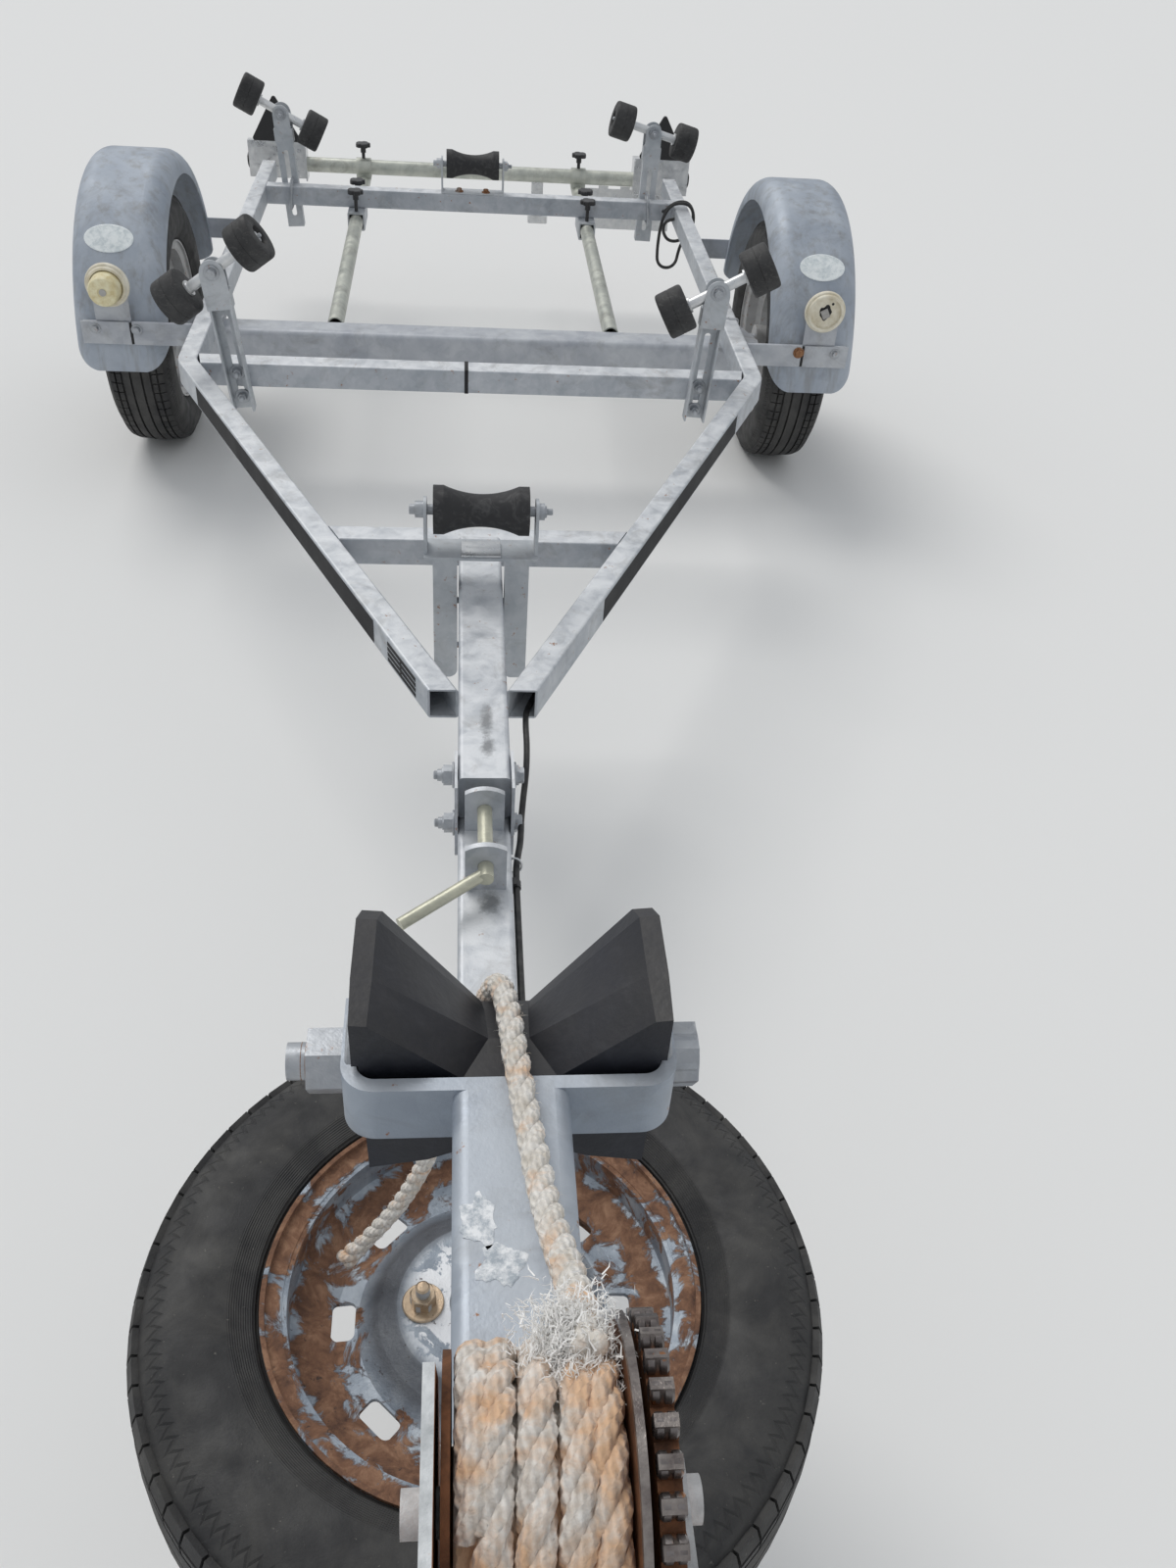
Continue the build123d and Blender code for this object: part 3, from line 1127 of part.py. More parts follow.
def build():
    node("side_rail_right", side_rail())
    node("side_rail_left", mirror(side_rail(), Plane.YZ))
    node("cross_members", *cross_members())
    node("drawbar_rear_tube", *drawbar_rear_tube())
    node("tilt_plates", *tilt_plates())
    node("axle", axle())
    node("mudguards", *both(mudguard()))
    node("mudguard_stays", *mudguard_stays())
    node("marker_lamps", *marker_lamps())
    for side, name in ((1, "right"), (-1, "left")):
        node(f"tyre_{name}", wheel_place(side) * tyre())
        node(f"wheel_{name}", wheel_place(side) * wheel())
    node("roller_uprights", *[upright_frame(row) * upright(row) for row in SIDE_ROLLERS])
    node("pivot_bolts", *[upright_frame(row) * pivot_bolt() for row in SIDE_ROLLERS], *hinge_bolts())
    for row in SIDE_ROLLERS:
        place = rocker_place(row)
        node(f"rocker_{row[0]}", place * rocker())
        node(f"roller_{row[0]}_a", place * side_roller(-1))
        node(f"roller_{row[0]}_b", place * side_roller(1))
    node("keel_brackets", keel_bracket_front(), keel_bracket_rear())
    node("keel_pins", keel_place(KEEL_FRONT) * keel_pin(), keel_place(KEEL_REAR) * keel_pin(), *stem_bolts())
    node("keel_roller_front", keel_place(KEEL_FRONT) * keel_roller())
    node("keel_roller_rear", keel_place(KEEL_REAR) * keel_roller())
    node("slide_sleeves", *slide_sleeves())
    node("slide_knobs", *slide_knobs())
    node("light_bar", *slide_tubes(), light_bar_tube())
    node("bar_knobs", *bar_knobs())
    node("lamp_plates", *lamp_carriers(), *number_board())
    node("rear_lamps", *rear_lamps())
    node("reflectors", *reflectors())
    node("drawbar_front_tube", drawbar_front_tube())
    node("latch_pin", latch_pin())
    on_post = Pos(POST_X, 0, 0)
    node("winch_post", on_post * winch_post())
    node("bow_chock", on_post * bow_chock())
    node("chock_bolt", on_post * chock_bolt())
    node("winch_frame", on_post * winch_frame(), on_post * winch_crank())
    node("winch_drum", on_post * winch_drum())
    node("wound_rope", on_post * wound_rope())
    node("spare_tyre", spare_place() * tyre())
    node("spare_rim", spare_place() * rim())
    node("spare_carrier", spare_carrier())
    node("coupling", coupling_head(), coupling_lever())
    node("jockey_clamp", jockey_clamp())
    node("jockey_tube", jockey_tube())
    node("jockey_leg", jockey_leg())
    node("jockey_fork", jockey_fork())
    node("jockey_wheel", jockey_wheel())
    node("rope_tail", cord(ROPE_ROUTE, ROPE_R))
    node("lead_loops", cord([(x, REAR_CROSS_Y + y, z) for x, y, z in LOOP_ROUTE], LEAD_R))
    node("lead_rear", cord(LEAD_REAR_ROUTE, LEAD_R))
    node("lead_front", cord(LEAD_FRONT_ROUTE, LEAD_R))
    node("lead_fittings", *lead_fittings())


build()
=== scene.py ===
import bmesh
import bpy
import random
from math import atan2, cos, pi, radians, sin, sqrt
from mathutils import Matrix, Vector, noise


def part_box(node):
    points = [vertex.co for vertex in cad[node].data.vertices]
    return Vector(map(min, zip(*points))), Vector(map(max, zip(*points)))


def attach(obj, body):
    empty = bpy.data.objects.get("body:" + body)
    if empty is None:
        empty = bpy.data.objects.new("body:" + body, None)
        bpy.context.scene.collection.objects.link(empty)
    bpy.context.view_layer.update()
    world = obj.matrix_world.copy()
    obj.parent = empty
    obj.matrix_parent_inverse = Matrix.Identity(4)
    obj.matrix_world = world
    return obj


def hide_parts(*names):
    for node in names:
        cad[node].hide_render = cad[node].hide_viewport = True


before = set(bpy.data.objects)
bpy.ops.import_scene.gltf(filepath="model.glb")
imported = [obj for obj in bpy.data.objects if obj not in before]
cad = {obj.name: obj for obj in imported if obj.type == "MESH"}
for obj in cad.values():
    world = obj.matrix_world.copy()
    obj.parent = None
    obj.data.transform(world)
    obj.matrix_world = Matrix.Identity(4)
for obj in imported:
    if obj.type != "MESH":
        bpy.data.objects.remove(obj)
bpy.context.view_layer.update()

# The camera stands over the coupling end, a little to the left, and looks down along the
# trailer to its tail. Its frame is an upright 3 to 4 picture.
bpy.ops.object.camera_add()
camera = bpy.context.object
camera.name = "camera"
right = Vector((0.99522, -0.07406, 0.06358))
up = Vector((-0.00128, 0.64135, 0.76725))
back = -Vector((0.09760, 0.76367, -0.63819))
turn = Matrix((right, up, back)).transposed()
camera.matrix_world = Matrix.Translation((-0.03084, -1.94929, 1.51314)) @ turn.to_4x4()
camera.data.lens = 29.72
camera.data.sensor_width = 36
camera.data.clip_start = 0.02
bpy.context.scene.camera = camera

# A pale studio floor, a white world for the camera, and the soft light of an overcast day:
# a broad sky with one weak, wide sun from the front left.
bpy.ops.mesh.primitive_plane_add(size=60)
floor = bpy.context.object
floor.name = "floor"
floor_paint = bpy.data.materials.new("floor_paint")
floor_paint.use_nodes = True
floor_paint.node_tree.nodes["Principled BSDF"].inputs["Base Color"].default_value = (0.78, 0.78, 0.77, 1)
floor_paint.node_tree.nodes["Principled BSDF"].inputs["Roughness"].default_value = 0.9
floor.data.materials.append(floor_paint)

world = bpy.data.worlds.new("sky")
bpy.context.scene.world = world
world.use_nodes = True
sky = world.node_tree
sky.nodes["Background"].inputs["Color"].default_value = (0.93, 0.96, 1.0, 1)
sky.nodes["Background"].inputs["Strength"].default_value = 0.62
seen = sky.nodes.new("ShaderNodeBackground")
seen.inputs["Color"].default_value = (1, 1, 1, 1)
rays = sky.nodes.new("ShaderNodeLightPath")
either = sky.nodes.new("ShaderNodeMixShader")
sky.links.new(rays.outputs["Is Camera Ray"], either.inputs["Fac"])
sky.links.new(sky.nodes["Background"].outputs[0], either.inputs[1])
sky.links.new(seen.outputs[0], either.inputs[2])
sky.links.new(either.outputs[0], sky.nodes["World Output"].inputs["Surface"])

bpy.ops.object.light_add(type="SUN", rotation=(radians(-28), radians(-24), 0))
sun = bpy.context.object
sun.name = "sun"
sun.data.energy = 1.25
sun.data.angle = radians(35)
sun.data.color = (1.0, 0.98, 0.95)

bpy.context.scene.view_settings.view_transform = "Standard"


# Winch rope: three laid strands of a hard cotton-like fibre, weathered cream with orange
# stains. It comes off the drum over the bow chock's valley and hangs behind it to a
# frayed end on the spare wheel's disc.
def at(x, y, z):
    """A place in millimetres, with Y counted from the frame's front corners."""
    return Vector((x / 1000, y / 1000 + 0.734, z / 1000))


def start_finish(name, roughness, metallic=0.0):
    """A new material with its shader, and the Object coordinates that it reads."""
    finish = bpy.data.materials.new(name)
    finish.use_nodes = True
    tree = finish.node_tree
    shader = tree.nodes["Principled BSDF"]
    shader.inputs["Roughness"].default_value = roughness
    shader.inputs["Metallic"].default_value = metallic
    place = tree.nodes.new("ShaderNodeTexCoord").outputs["Object"]
    return finish, tree, shader, place


def stretch(tree, place, scale, move=(0, 0, 0)):
    node = tree.nodes.new("ShaderNodeMapping")
    tree.links.new(place, node.inputs["Vector"])
    node.inputs["Scale"].default_value = scale
    node.inputs["Location"].default_value = move
    return node.outputs["Vector"]


def grain(tree, place, scale, detail=3, rough=0.55, warp=0):
    node = tree.nodes.new("ShaderNodeTexNoise")
    tree.links.new(place, node.inputs["Vector"])
    node.inputs["Scale"].default_value = scale
    node.inputs["Detail"].default_value = detail
    node.inputs["Roughness"].default_value = rough
    node.inputs["Distortion"].default_value = warp
    return node.outputs["Fac"]


def ramp(tree, value, *stops):
    """Colours at places along a value. A stop's colour is a grey or three numbers."""
    node = tree.nodes.new("ShaderNodeValToRGB")
    tree.links.new(value, node.inputs["Fac"])
    band = node.color_ramp
    for index, (where, colour) in enumerate(stops):
        stop = band.elements[index] if index < 2 else band.elements.new(where)
        stop.position = where
        stop.color = (*colour, 1) if isinstance(colour, tuple) else (colour, colour, colour, 1)
    return node.outputs["Color"]


def sums(tree, kind, first, second=0.5):
    node = tree.nodes.new("ShaderNodeMath")
    node.operation = kind
    for value, socket in zip((first, second), node.inputs):
        if isinstance(value, (int, float)):
            socket.default_value = value
        else:
            tree.links.new(value, socket)
    return node.outputs[0]


def blended(tree, share, first, second, kind="MIX"):
    """The first colour, with the second laid over it by a share from 0 to 1."""
    node = tree.nodes.new("ShaderNodeMix")
    node.data_type = "RGBA"
    node.blend_type = kind
    for value, socket in zip((share, first, second), (node.inputs[0], node.inputs[6], node.inputs[7])):
        if isinstance(value, (int, float)):
            socket.default_value = value
        elif isinstance(value, tuple):
            socket.default_value = (*value, 1)
        else:
            tree.links.new(value, socket)
    return node.outputs[2]


def product(tree, first, second):
    return sums(tree, "MULTIPLY", first, second)


def relief(tree, shader, height, deep, strength=1.0):
    node = tree.nodes.new("ShaderNodeBump")
    node.inputs["Distance"].default_value = deep
    node.inputs["Strength"].default_value = strength
    tree.links.new(height, node.inputs["Height"])
    tree.links.new(node.outputs["Normal"], shader.inputs["Normal"])


def paint(tree, shader, colour, roughness=None):
    tree.links.new(colour, shader.inputs["Base Color"])
    if roughness:
        tree.links.new(roughness, shader.inputs["Roughness"])


def smooth_line(name, route, steps=12):
    """A smooth curve whose control points are the route, in metres."""
    line = bpy.data.curves.new(name, "CURVE")
    line.dimensions = "3D"
    line.resolution_u = steps
    spline = line.splines.new("NURBS")
    spline.points.add(len(route) - 1)
    for point, spot in zip(spline.points, route):
        point.co = (*spot, 1)
    spline.order_u = 3
    spline.use_endpoint_u = True
    piece = bpy.data.objects.new(name, line)
    bpy.context.scene.collection.objects.link(piece)
    return piece


def points_on(line):
    """The points of a curve's own line."""
    bpy.context.view_layer.update()
    made = bpy.data.meshes.new_from_object(line)
    spots = [v.co.copy() for v in made.vertices]
    bpy.data.meshes.remove(made)
    return spots


def run_length(spots):
    return sum((b - a).length for a, b in zip(spots, spots[1:]))


def even_points(spots, gap):
    """Points at even gaps along a line of points."""
    count = max(4, round(run_length(spots) / gap))
    step = run_length(spots) / count
    even, done, goal = [spots[0]], 0.0, step
    for a, b in zip(spots, spots[1:]):
        run = (b - a).length
        while run > 0 and goal <= done + run + 1e-9 and len(even) < count:
            even.append(a.lerp(b, (goal - done) / run))
            goal += step
        done += run
    even.append(spots[-1])
    return even


def laid_rope(name, spots, radius, pitch, sides=9, fray=0.0):
    """Strands that twist round a line of points, each a closed tube with a UV map along it."""
    strands = 3
    across = radius * 0.47
    thick = radius - across
    ahead = (spots[1] - spots[0]).normalized()
    side = ahead.orthogonal().normalized()
    rings, gone = [[] for _ in range(strands)], 0.0
    for index, spot in enumerate(spots):
        after = spots[min(index + 1, len(spots) - 1)]
        before = spots[max(index - 1, 0)]
        new_ahead = (after - before).normalized()
        side = (ahead.rotation_difference(new_ahead) @ side).normalized()
        ahead = new_ahead
        other = ahead.cross(side)
        if index:
            gone += (spot - spots[index - 1]).length
        left = max(0.0, 1 - (len(spots) - 1 - index) / 12)
        for strand in range(strands):
            angle = 2 * pi * (gone / pitch + strand / strands)
            out = side * cos(angle) + other * sin(angle)
            round_out = other * cos(angle) - side * sin(angle)
            lean = (ahead + round_out * (2 * pi * across / pitch)).normalized()
            wide = lean.cross(out).normalized()
            middle = spot + out * (across + fray * left * left)
            wobble = 1 + 0.10 * noise.noise(spot * 90 + Vector((strand * 7, 0, 0)))
            swell = thick * wobble * (1 + 0.25 * left * (fray > 0))
            rings[strand].append([
                middle + (out * cos(turn) + wide * sin(turn) * 1.14) * swell
                for turn in (2 * pi * k / sides for k in range(sides))
            ])
    corners, faces, marks = [], [], []
    for strand, line in enumerate(rings):
        first = len(corners)
        for ring in line:
            corners += ring
        for index in range(len(line) - 1):
            for k in range(sides):
                a, b = first + index * sides + k, first + index * sides + (k + 1) % sides
                faces.append((a, b, b + sides, a + sides))
                marks.append((index, k))
        faces.append(tuple(first + k for k in reversed(range(sides))))
        marks.append(None)
        faces.append(tuple(first + (len(line) - 1) * sides + k for k in range(sides)))
        marks.append(None)
    made = bpy.data.meshes.new(name)
    made.from_pydata(corners, [], faces)
    gap = run_length(spots) / (len(spots) - 1)
    sheet = made.uv_layers.new(name="along")
    for face, mark in zip(made.polygons, marks):
        for slot, loop in enumerate(face.loop_indices):
            if mark is None:
                sheet.data[loop].uv = (0, 0.5)
            else:
                step, k = mark
                sheet.data[loop].uv = ((step + (slot > 1)) * gap, (k + (slot in (1, 2))) / sides)
        face.use_smooth = True
    piece = bpy.data.objects.new(name, made)
    bpy.context.scene.collection.objects.link(piece)
    return piece


def rope_look(name, stain_from, stain_full, cream_dark):
    finish, tree, shader, place = start_finish(name, 0.92)
    yarns = tree.nodes.new("ShaderNodeUVMap")
    yarns.uv_map = "along"
    slanted = tree.nodes.new("ShaderNodeTexWave")
    slanted.inputs["Scale"].default_value = 0.32
    slanted.inputs["Distortion"].default_value = 1.6
    slanted.inputs["Detail"].default_value = 2
    slanted.bands_direction = "DIAGONAL"
    tree.links.new(stretch(tree, yarns.outputs["UV"], (520, 9, 1)), slanted.inputs["Vector"])
    fibres = grain(tree, place, 900, 4, 0.7)
    stains = ramp(tree, grain(tree, place, 34, 5, 0.62, 0.5), (stain_from, 0.0), (stain_full, 0.9))
    cream = ramp(tree, grain(tree, place, 130, 4, 0.6), (0.3, cream_dark), (0.66, (0.93, 0.90, 0.85)))
    stained = blended(tree, stains, cream, (0.80, 0.50, 0.29))
    # Painted shade: the colour is darkened along the furrows between the yarns, where shade falls.
    furrow_shade = ramp(tree, slanted.outputs["Fac"], (0.0, 0.66), (0.45, 1.0))
    paint(tree, shader, blended(tree, 0.5, stained, furrow_shade, "MULTIPLY"))
    relief(tree, shader, sums(tree, "ADD", slanted.outputs["Fac"], product(tree, fibres, 0.7)), 0.0012, 0.8)
    shader.inputs["Sheen Weight"].default_value = 0.3
    return finish


rope_finish = rope_look("rope_fibre", 0.50, 0.66, (0.66, 0.60, 0.51))
wound_finish = rope_look("rope_fibre_stained", 0.42, 0.58, (0.58, 0.50, 0.42))

ROPE_ROUTE = (
    (13, -2472, 1086), (12, -2438, 1061), (10, -2400, 1026), (6, -2356, 998), (2, -2308, 984),
    (-3, -2264, 981), (-5, -2226, 972), (-8, -2194, 956), (-12, -2168, 926), (-20, -2151, 876),
    (-28, -2134, 822), (-35, -2116, 767), (-43, -2102, 710), (-53, -2093, 655), (-66, -2087, 603),
    (-84, -2084, 556), (-106, -2083, 516), (-128, -2082, 480),
)
rope_line = smooth_line("rope_line", [at(*spot) for spot in ROPE_ROUTE], 16)
rope_spots = points_on(rope_line)
bpy.data.objects.remove(rope_line)
ROPE_R = 0.00725
ROPE_PITCH = 0.046
rope = laid_rope("rope_tail_strands", even_points(rope_spots, 0.0035), ROPE_R, ROPE_PITCH, fray=0.0015)
rope.data.materials.append(rope_finish)
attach(rope, "drawbar")
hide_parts("rope_tail")


def hairs(name, rows):
    """Loose fibres, each a bent spike with three sides. Columns: root, middle, tip, thickness."""
    corners, faces = [], []
    for root, middle, tip, thick in rows:
        across = (tip - root).orthogonal().normalized()
        other = (tip - root).normalized().cross(across)
        first = len(corners)
        for spot, size in ((root, thick), (middle, thick * 0.7)):
            corners += [spot + (across * cos(turn) + other * sin(turn)) * size for turn in (0, 2.1, 4.2)]
        corners.append(tip)
        for k in range(3):
            a, b = first + k, first + (k + 1) % 3
            faces += [(a, b, b + 3, a + 3), (a + 3, b + 3, first + 6)]
        faces.append((first + 2, first + 1, first))
    made = bpy.data.meshes.new(name)
    made.from_pydata(corners, [], faces)
    piece = bpy.data.objects.new(name, made)
    bpy.context.scene.collection.objects.link(piece)
    return piece


chance = random.Random(7)


def any_way():
    return Vector((chance.gauss(0, 1), chance.gauss(0, 1), chance.gauss(0, 1))).normalized()


rows = []
for index, spot in enumerate(even_points(rope_spots, 0.0011)):
    out = any_way()
    root = spot + out * 0.0060
    reach = chance.uniform(0.0022, 0.0050)
    bent = (out + any_way() * 0.7).normalized()
    rows.append((root, root + bent * reach * 0.55, root + (bent + any_way() * 0.5).normalized() * reach,
                 0.00014))
fluff = hairs("rope_tail_fibres", rows)
fluff.data.materials.append(rope_finish)
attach(fluff, "drawbar")

# The rope's turns on the drum: one full outer layer, wound side by side, over the closed
# form of the layers below.
def middle_of(node):
    low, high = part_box(node)
    return (low + high) / 2


def only(piece):
    """Selects one piece alone and makes it the active one."""
    bpy.ops.object.select_all(action="DESELECT")
    piece.select_set(True)
    bpy.context.view_layer.objects.active = piece


drum_low, drum_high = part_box("wound_rope")
drum_middle = middle_of("wound_rope")
drum_r = (drum_high.z - drum_low.z) / 2
drum_wide = drum_high.x - drum_low.x
turn_r, turn_steps = 0.0072, 90
flange_gap = 0.0073
winding = []
for step in range(390):
    angle = 2 * pi * step / turn_steps + radians(60)
    inset = flange_gap + (drum_wide - 2 * flange_gap) * min(max((step - 55) / 280, 0), 1)
    reach = drum_r - turn_r - 0.0006 * sin(step * 0.35)
    winding.append(Vector((drum_low.x + inset, drum_middle.y - reach * cos(angle),
                           drum_middle.z + reach * sin(angle))))
turns = laid_rope("wound_rope_turns", even_points(winding, 0.0038), turn_r, ROPE_PITCH, sides=8)
bpy.ops.object.select_all(action="DESELECT")
bpy.ops.mesh.primitive_cylinder_add(vertices=48, radius=drum_r - 0.010, depth=drum_wide - 0.001,
                                    location=drum_middle, rotation=(0, pi / 2, 0))
bpy.ops.object.mode_set(mode="EDIT")
bpy.ops.mesh.bevel(offset=0.003, segments=2)
bpy.ops.object.mode_set(mode="OBJECT")
bpy.ops.object.transform_apply(location=True, rotation=True, scale=True)
turns.select_set(True)
bpy.context.view_layer.objects.active = turns
bpy.ops.object.join()
turns.data.materials.clear()
turns.data.materials.append(wound_finish)
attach(turns, "drawbar")
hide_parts("wound_rope")

# Where the tail leaves the drum, its outer yarns are broken. They stand up round it in a
# white tuft of short fibres.
tuft_at = at(7, -2468, 1085)
rows = []
for index in range(3000):
    out = (any_way() + Vector((0, 0.25, 0.7))).normalized()
    root = tuft_at + Vector((chance.gauss(0, 0.0075), chance.gauss(0, 0.009), chance.gauss(0, 0.003) - 0.004))
    reach = chance.uniform(0.003, 0.007)
    bent = root + out * reach * 0.6
    rows.append((root, bent, bent + (out + any_way() * 0.9).normalized() * reach * 0.5,
                 chance.uniform(0.00015, 0.0004)))
tuft = hairs("rope_tuft", rows)
tuft_finish, tree, shader, place = start_finish("rope_tuft_fibre", 0.95)
shader.inputs["Base Color"].default_value = (0.93, 0.92, 0.90, 1)
tuft.data.materials.append(tuft_finish)
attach(tuft, "drawbar")

# Lighting lead: round black two-core cable. Its spare length is wound twice round the
# right side member; the rest runs along the drawbar, in clips, to the plug near the coupling.
def speckled(name, rough, patches, stops, bumps, deep, strength=0.4):
    """A finish of two colours. Patches and bumps are noises: scale, detail, roughness, warp."""
    finish, tree, shader, place = start_finish(name, rough)
    paint(tree, shader, ramp(tree, grain(tree, place, *patches), *stops))
    relief(tree, shader, grain(tree, place, *bumps), deep, strength)
    return finish


lead_finish = speckled("lead_sheath", 0.48, (60, 4, 0.6),
                       ((0.4, (0.012, 0.012, 0.013)), (0.72, (0.055, 0.054, 0.050))), (700, 2), 0.0003)

LEAD_R = 0.0045
LOOP_ROUTE = (
    (554, -20.8, 398.1), (555, -42, 402), (566, -54, 422), (590, -56, 437), (620, -57, 436), (637, -58, 412),
    (638, -59, 380), (627, -60, 350), (609, -61, 320), (603, -61, 293), (600, -61, 268), (584, -61.5, 252),
    (560, -62, 252), (544, -62.5, 268), (541.5, -63, 293), (541, -64, 320), (543, -65, 360), (550, -67, 400),
    (568, -69, 430), (596, -71, 438), (623, -72, 433), (637, -73, 408), (637, -74, 374), (621, -75, 348),
    (595, -76, 332), (568, -77, 334), (552, -78, 354), (550, -78.5, 376), (560, -79, 391),
    (579.6, -79, 394.8),
)
ROLLER_CROSS_Y = 1278
LEAD_REAR_ROUTE = (
    (82, -1112, 377.6), (64, -1152, 377.6), (62, -1190, 376), (63, -1228, 368), (61, -1268, 350),
    (55, -1308, 329), (52, -1340.4, 322.5),
)
LEAD_FRONT_ROUTE = (
    (52, -1343.4, 322.5), (50, -1384, 326), (44, -1422, 331), (41, -1452, 332), (41, -1506, 331.9),
    (41.4, -2330, 327), (43, -2420, 324), (49, -2500, 321.4), (59, -2560, 321), (59, -2606, 321),
)
for name, node, body, route in (
    ("lead_loop_cable", "lead_loops", "frame", [(x, y + ROLLER_CROSS_Y, z) for x, y, z in LOOP_ROUTE]),
    ("lead_rear_cable", "lead_rear", "frame", LEAD_REAR_ROUTE),
    ("lead_front_cable", "lead_front", "drawbar", LEAD_FRONT_ROUTE),
):
    cable = smooth_line(name, [at(*spot) for spot in route], 10)
    cable_spots = points_on(cable)
    cable.data.bevel_depth = LEAD_R
    cable.data.bevel_resolution = 4
    cable.data.use_fill_caps = True
    cable.data.materials.append(lead_finish)
    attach(cable, body)
    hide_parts(node)


# Frame: side members, cross members and drawbar tubes of hot-dip galvanised box tube. The
# zinc has dulled to a mottled grey, with dark water marks and small rust spots. Up-facing faces
# are lightened by a painted sky sheen.
def facing(tree):
    """The surface's own direction, as its parts along X, Y and Z."""
    parts = tree.nodes.new("ShaderNodeSeparateXYZ")
    tree.links.new(tree.nodes["Texture Coordinate"].outputs["Normal"], parts.inputs[0])
    return parts.outputs


def far_from(tree, place, middle, scale=(1, 1, 1)):
    """The distance from a place, each axis scaled. An axis scaled by 0 is left out."""
    node = tree.nodes.new("ShaderNodeVectorMath")
    node.operation = "LENGTH"
    tree.links.new(stretch(tree, place, scale, [-a * b for a, b in zip(middle, scale)]), node.inputs[0])
    return node.outputs["Value"]


def zinc(name, pale, dark, mottle=34, rough=0.5, metal=0.45, grime=0.35, rust=0.0, speckle=0.5, sky_sheen=0.0,
         streak=0.0, shadow_spots=()):
    finish, tree, shader, place = start_finish(name, rough, metal)
    broad = grain(tree, place, 5.5, 5, 0.6, 0.3)
    patches = grain(tree, place, mottle, 4, 0.62, 0.5)
    spangle = tree.nodes.new("ShaderNodeTexVoronoi")
    spangle.inputs["Scale"].default_value = mottle * 2.6
    spangle.inputs["Randomness"].default_value = 1
    tree.links.new(place, spangle.inputs["Vector"])
    facets = tree.nodes.new("ShaderNodeSeparateColor")
    tree.links.new(spangle.outputs["Color"], facets.inputs[0])
    share = sums(tree, "ADD", product(tree, broad, 0.45), product(tree, patches, 0.42))
    share = sums(tree, "ADD", share, product(tree, facets.outputs[0], 0.13 * speckle))
    colour = ramp(tree, share, (0.34, dark), (0.64, pale))
    # Painted sheen: up-facing faces are blended towards a pale sky grey, mottled by the patches.
    if sky_sheen:
        topside = ramp(tree, facing(tree)[2], (0.35, 0.0), (0.9, sky_sheen))
        colour = blended(tree, product(tree, topside, ramp(tree, patches, (0.3, 0.45), (0.6, 1.0))), colour,
                         (0.86, 0.87, 0.88))
    if streak:
        runs = grain(tree, stretch(tree, place, (1, 1, 0.09)), 46, 5, 0.66)
        colour = blended(tree, ramp(tree, runs, (0.50, 0.0), (0.68, streak)), colour, (0.24, 0.235, 0.22))
    if grime:
        marks = ramp(tree, grain(tree, place, 13, 6, 0.72, 0.8), (0.52, 0.0), (0.72, grime))
        colour = blended(tree, marks, colour, (0.16, 0.145, 0.12))
    # Painted shadows: cool dark grey patches at given spots, where parts beside them shade the surface.
    for spot, wide, long in shadow_spots:
        near = far_from(tree, place, at(*spot), (1000 / wide, 1000 / long, 20))
        soft = sums(tree, "ADD", near, product(tree, grain(tree, place, 90, 6, 0.75), 0.9))
        colour = blended(tree, ramp(tree, soft, (0.62, 0.7), (0.98, 0.0)), colour, (0.11, 0.115, 0.12))
    if rust:
        spots = ramp(tree, grain(tree, place, 70, 6, 0.7), (0.66 - 0.06 * rust, 0.0),
                     (0.70 - 0.05 * rust, 0.9))
        colour = blended(tree, spots, colour, (0.30, 0.13, 0.05))
    paint(tree, shader, colour, ramp(tree, patches, (0.3, rough - 0.12), (0.7, rough + 0.16)))
    height = sums(tree, "ADD", product(tree, patches, 0.6), product(tree, grain(tree, place, 420, 3), 0.25))
    relief(tree, shader, height, 0.0012, 0.55)
    return finish


def dress(node, finish):
    """Gives a CAD node its finish."""
    mesh = cad[node].data
    mesh.materials.clear()
    mesh.materials.append(finish)


rail_zinc = zinc("rail_zinc", (0.62, 0.64, 0.66), (0.35, 0.38, 0.42), rust=0.15, sky_sheen=0.5)
# The tube finish has painted shadows at three given spots on the drawbar tubes' tops, near the hinge.
tube_zinc = zinc("tube_zinc", (0.58, 0.60, 0.63), (0.33, 0.36, 0.40), mottle=26, grime=0.4, rust=0.25,
                 sky_sheen=0.55,
                 shadow_spots=(((4, -1246, 428), 20, 82), ((5, -1306, 428), 22, 50), ((6, -1532, 357.5), 34, 46)))
post_zinc = zinc("post_zinc", (0.42, 0.47, 0.53), (0.25, 0.29, 0.35), mottle=22, grime=0.3, rust=0.1,
                 sky_sheen=0.25)
for node in ("side_rail_left", "side_rail_right"):
    dress(node, rail_zinc)
for node in ("cross_members", "drawbar_rear_tube", "drawbar_front_tube", "tilt_plates"):
    dress(node, tube_zinc)
dress("winch_post", post_zinc)

# Mudguards: pressed galvanised sheet on flat-bar stays, duller and bluer than the tubes,
# with grime and rust running down at their feet.
guard_zinc = zinc("guard_zinc", (0.52, 0.56, 0.61), (0.30, 0.34, 0.40), mottle=12, rough=0.58, metal=0.3,
                  grime=0.34, speckle=0.2, streak=0.5)
stay_zinc = zinc("stay_zinc", (0.58, 0.60, 0.62), (0.36, 0.38, 0.42), mottle=22, rough=0.55, metal=0.35)
dress("mudguards", guard_zinc)
dress("mudguard_stays", stay_zinc)
dress("axle", stay_zinc)

# Uprights and caps of the side rollers, the keel brackets and the sleeves: galvanised bent
# strip.
strip_zinc = zinc("strip_zinc", (0.60, 0.62, 0.64), (0.40, 0.43, 0.46), mottle=30, grime=0.3, rust=0.4)
for node in ("roller_uprights", "keel_brackets", "slide_sleeves", "spare_carrier", "coupling",
             "jockey_clamp", "jockey_fork"):
    dress(node, strip_zinc)

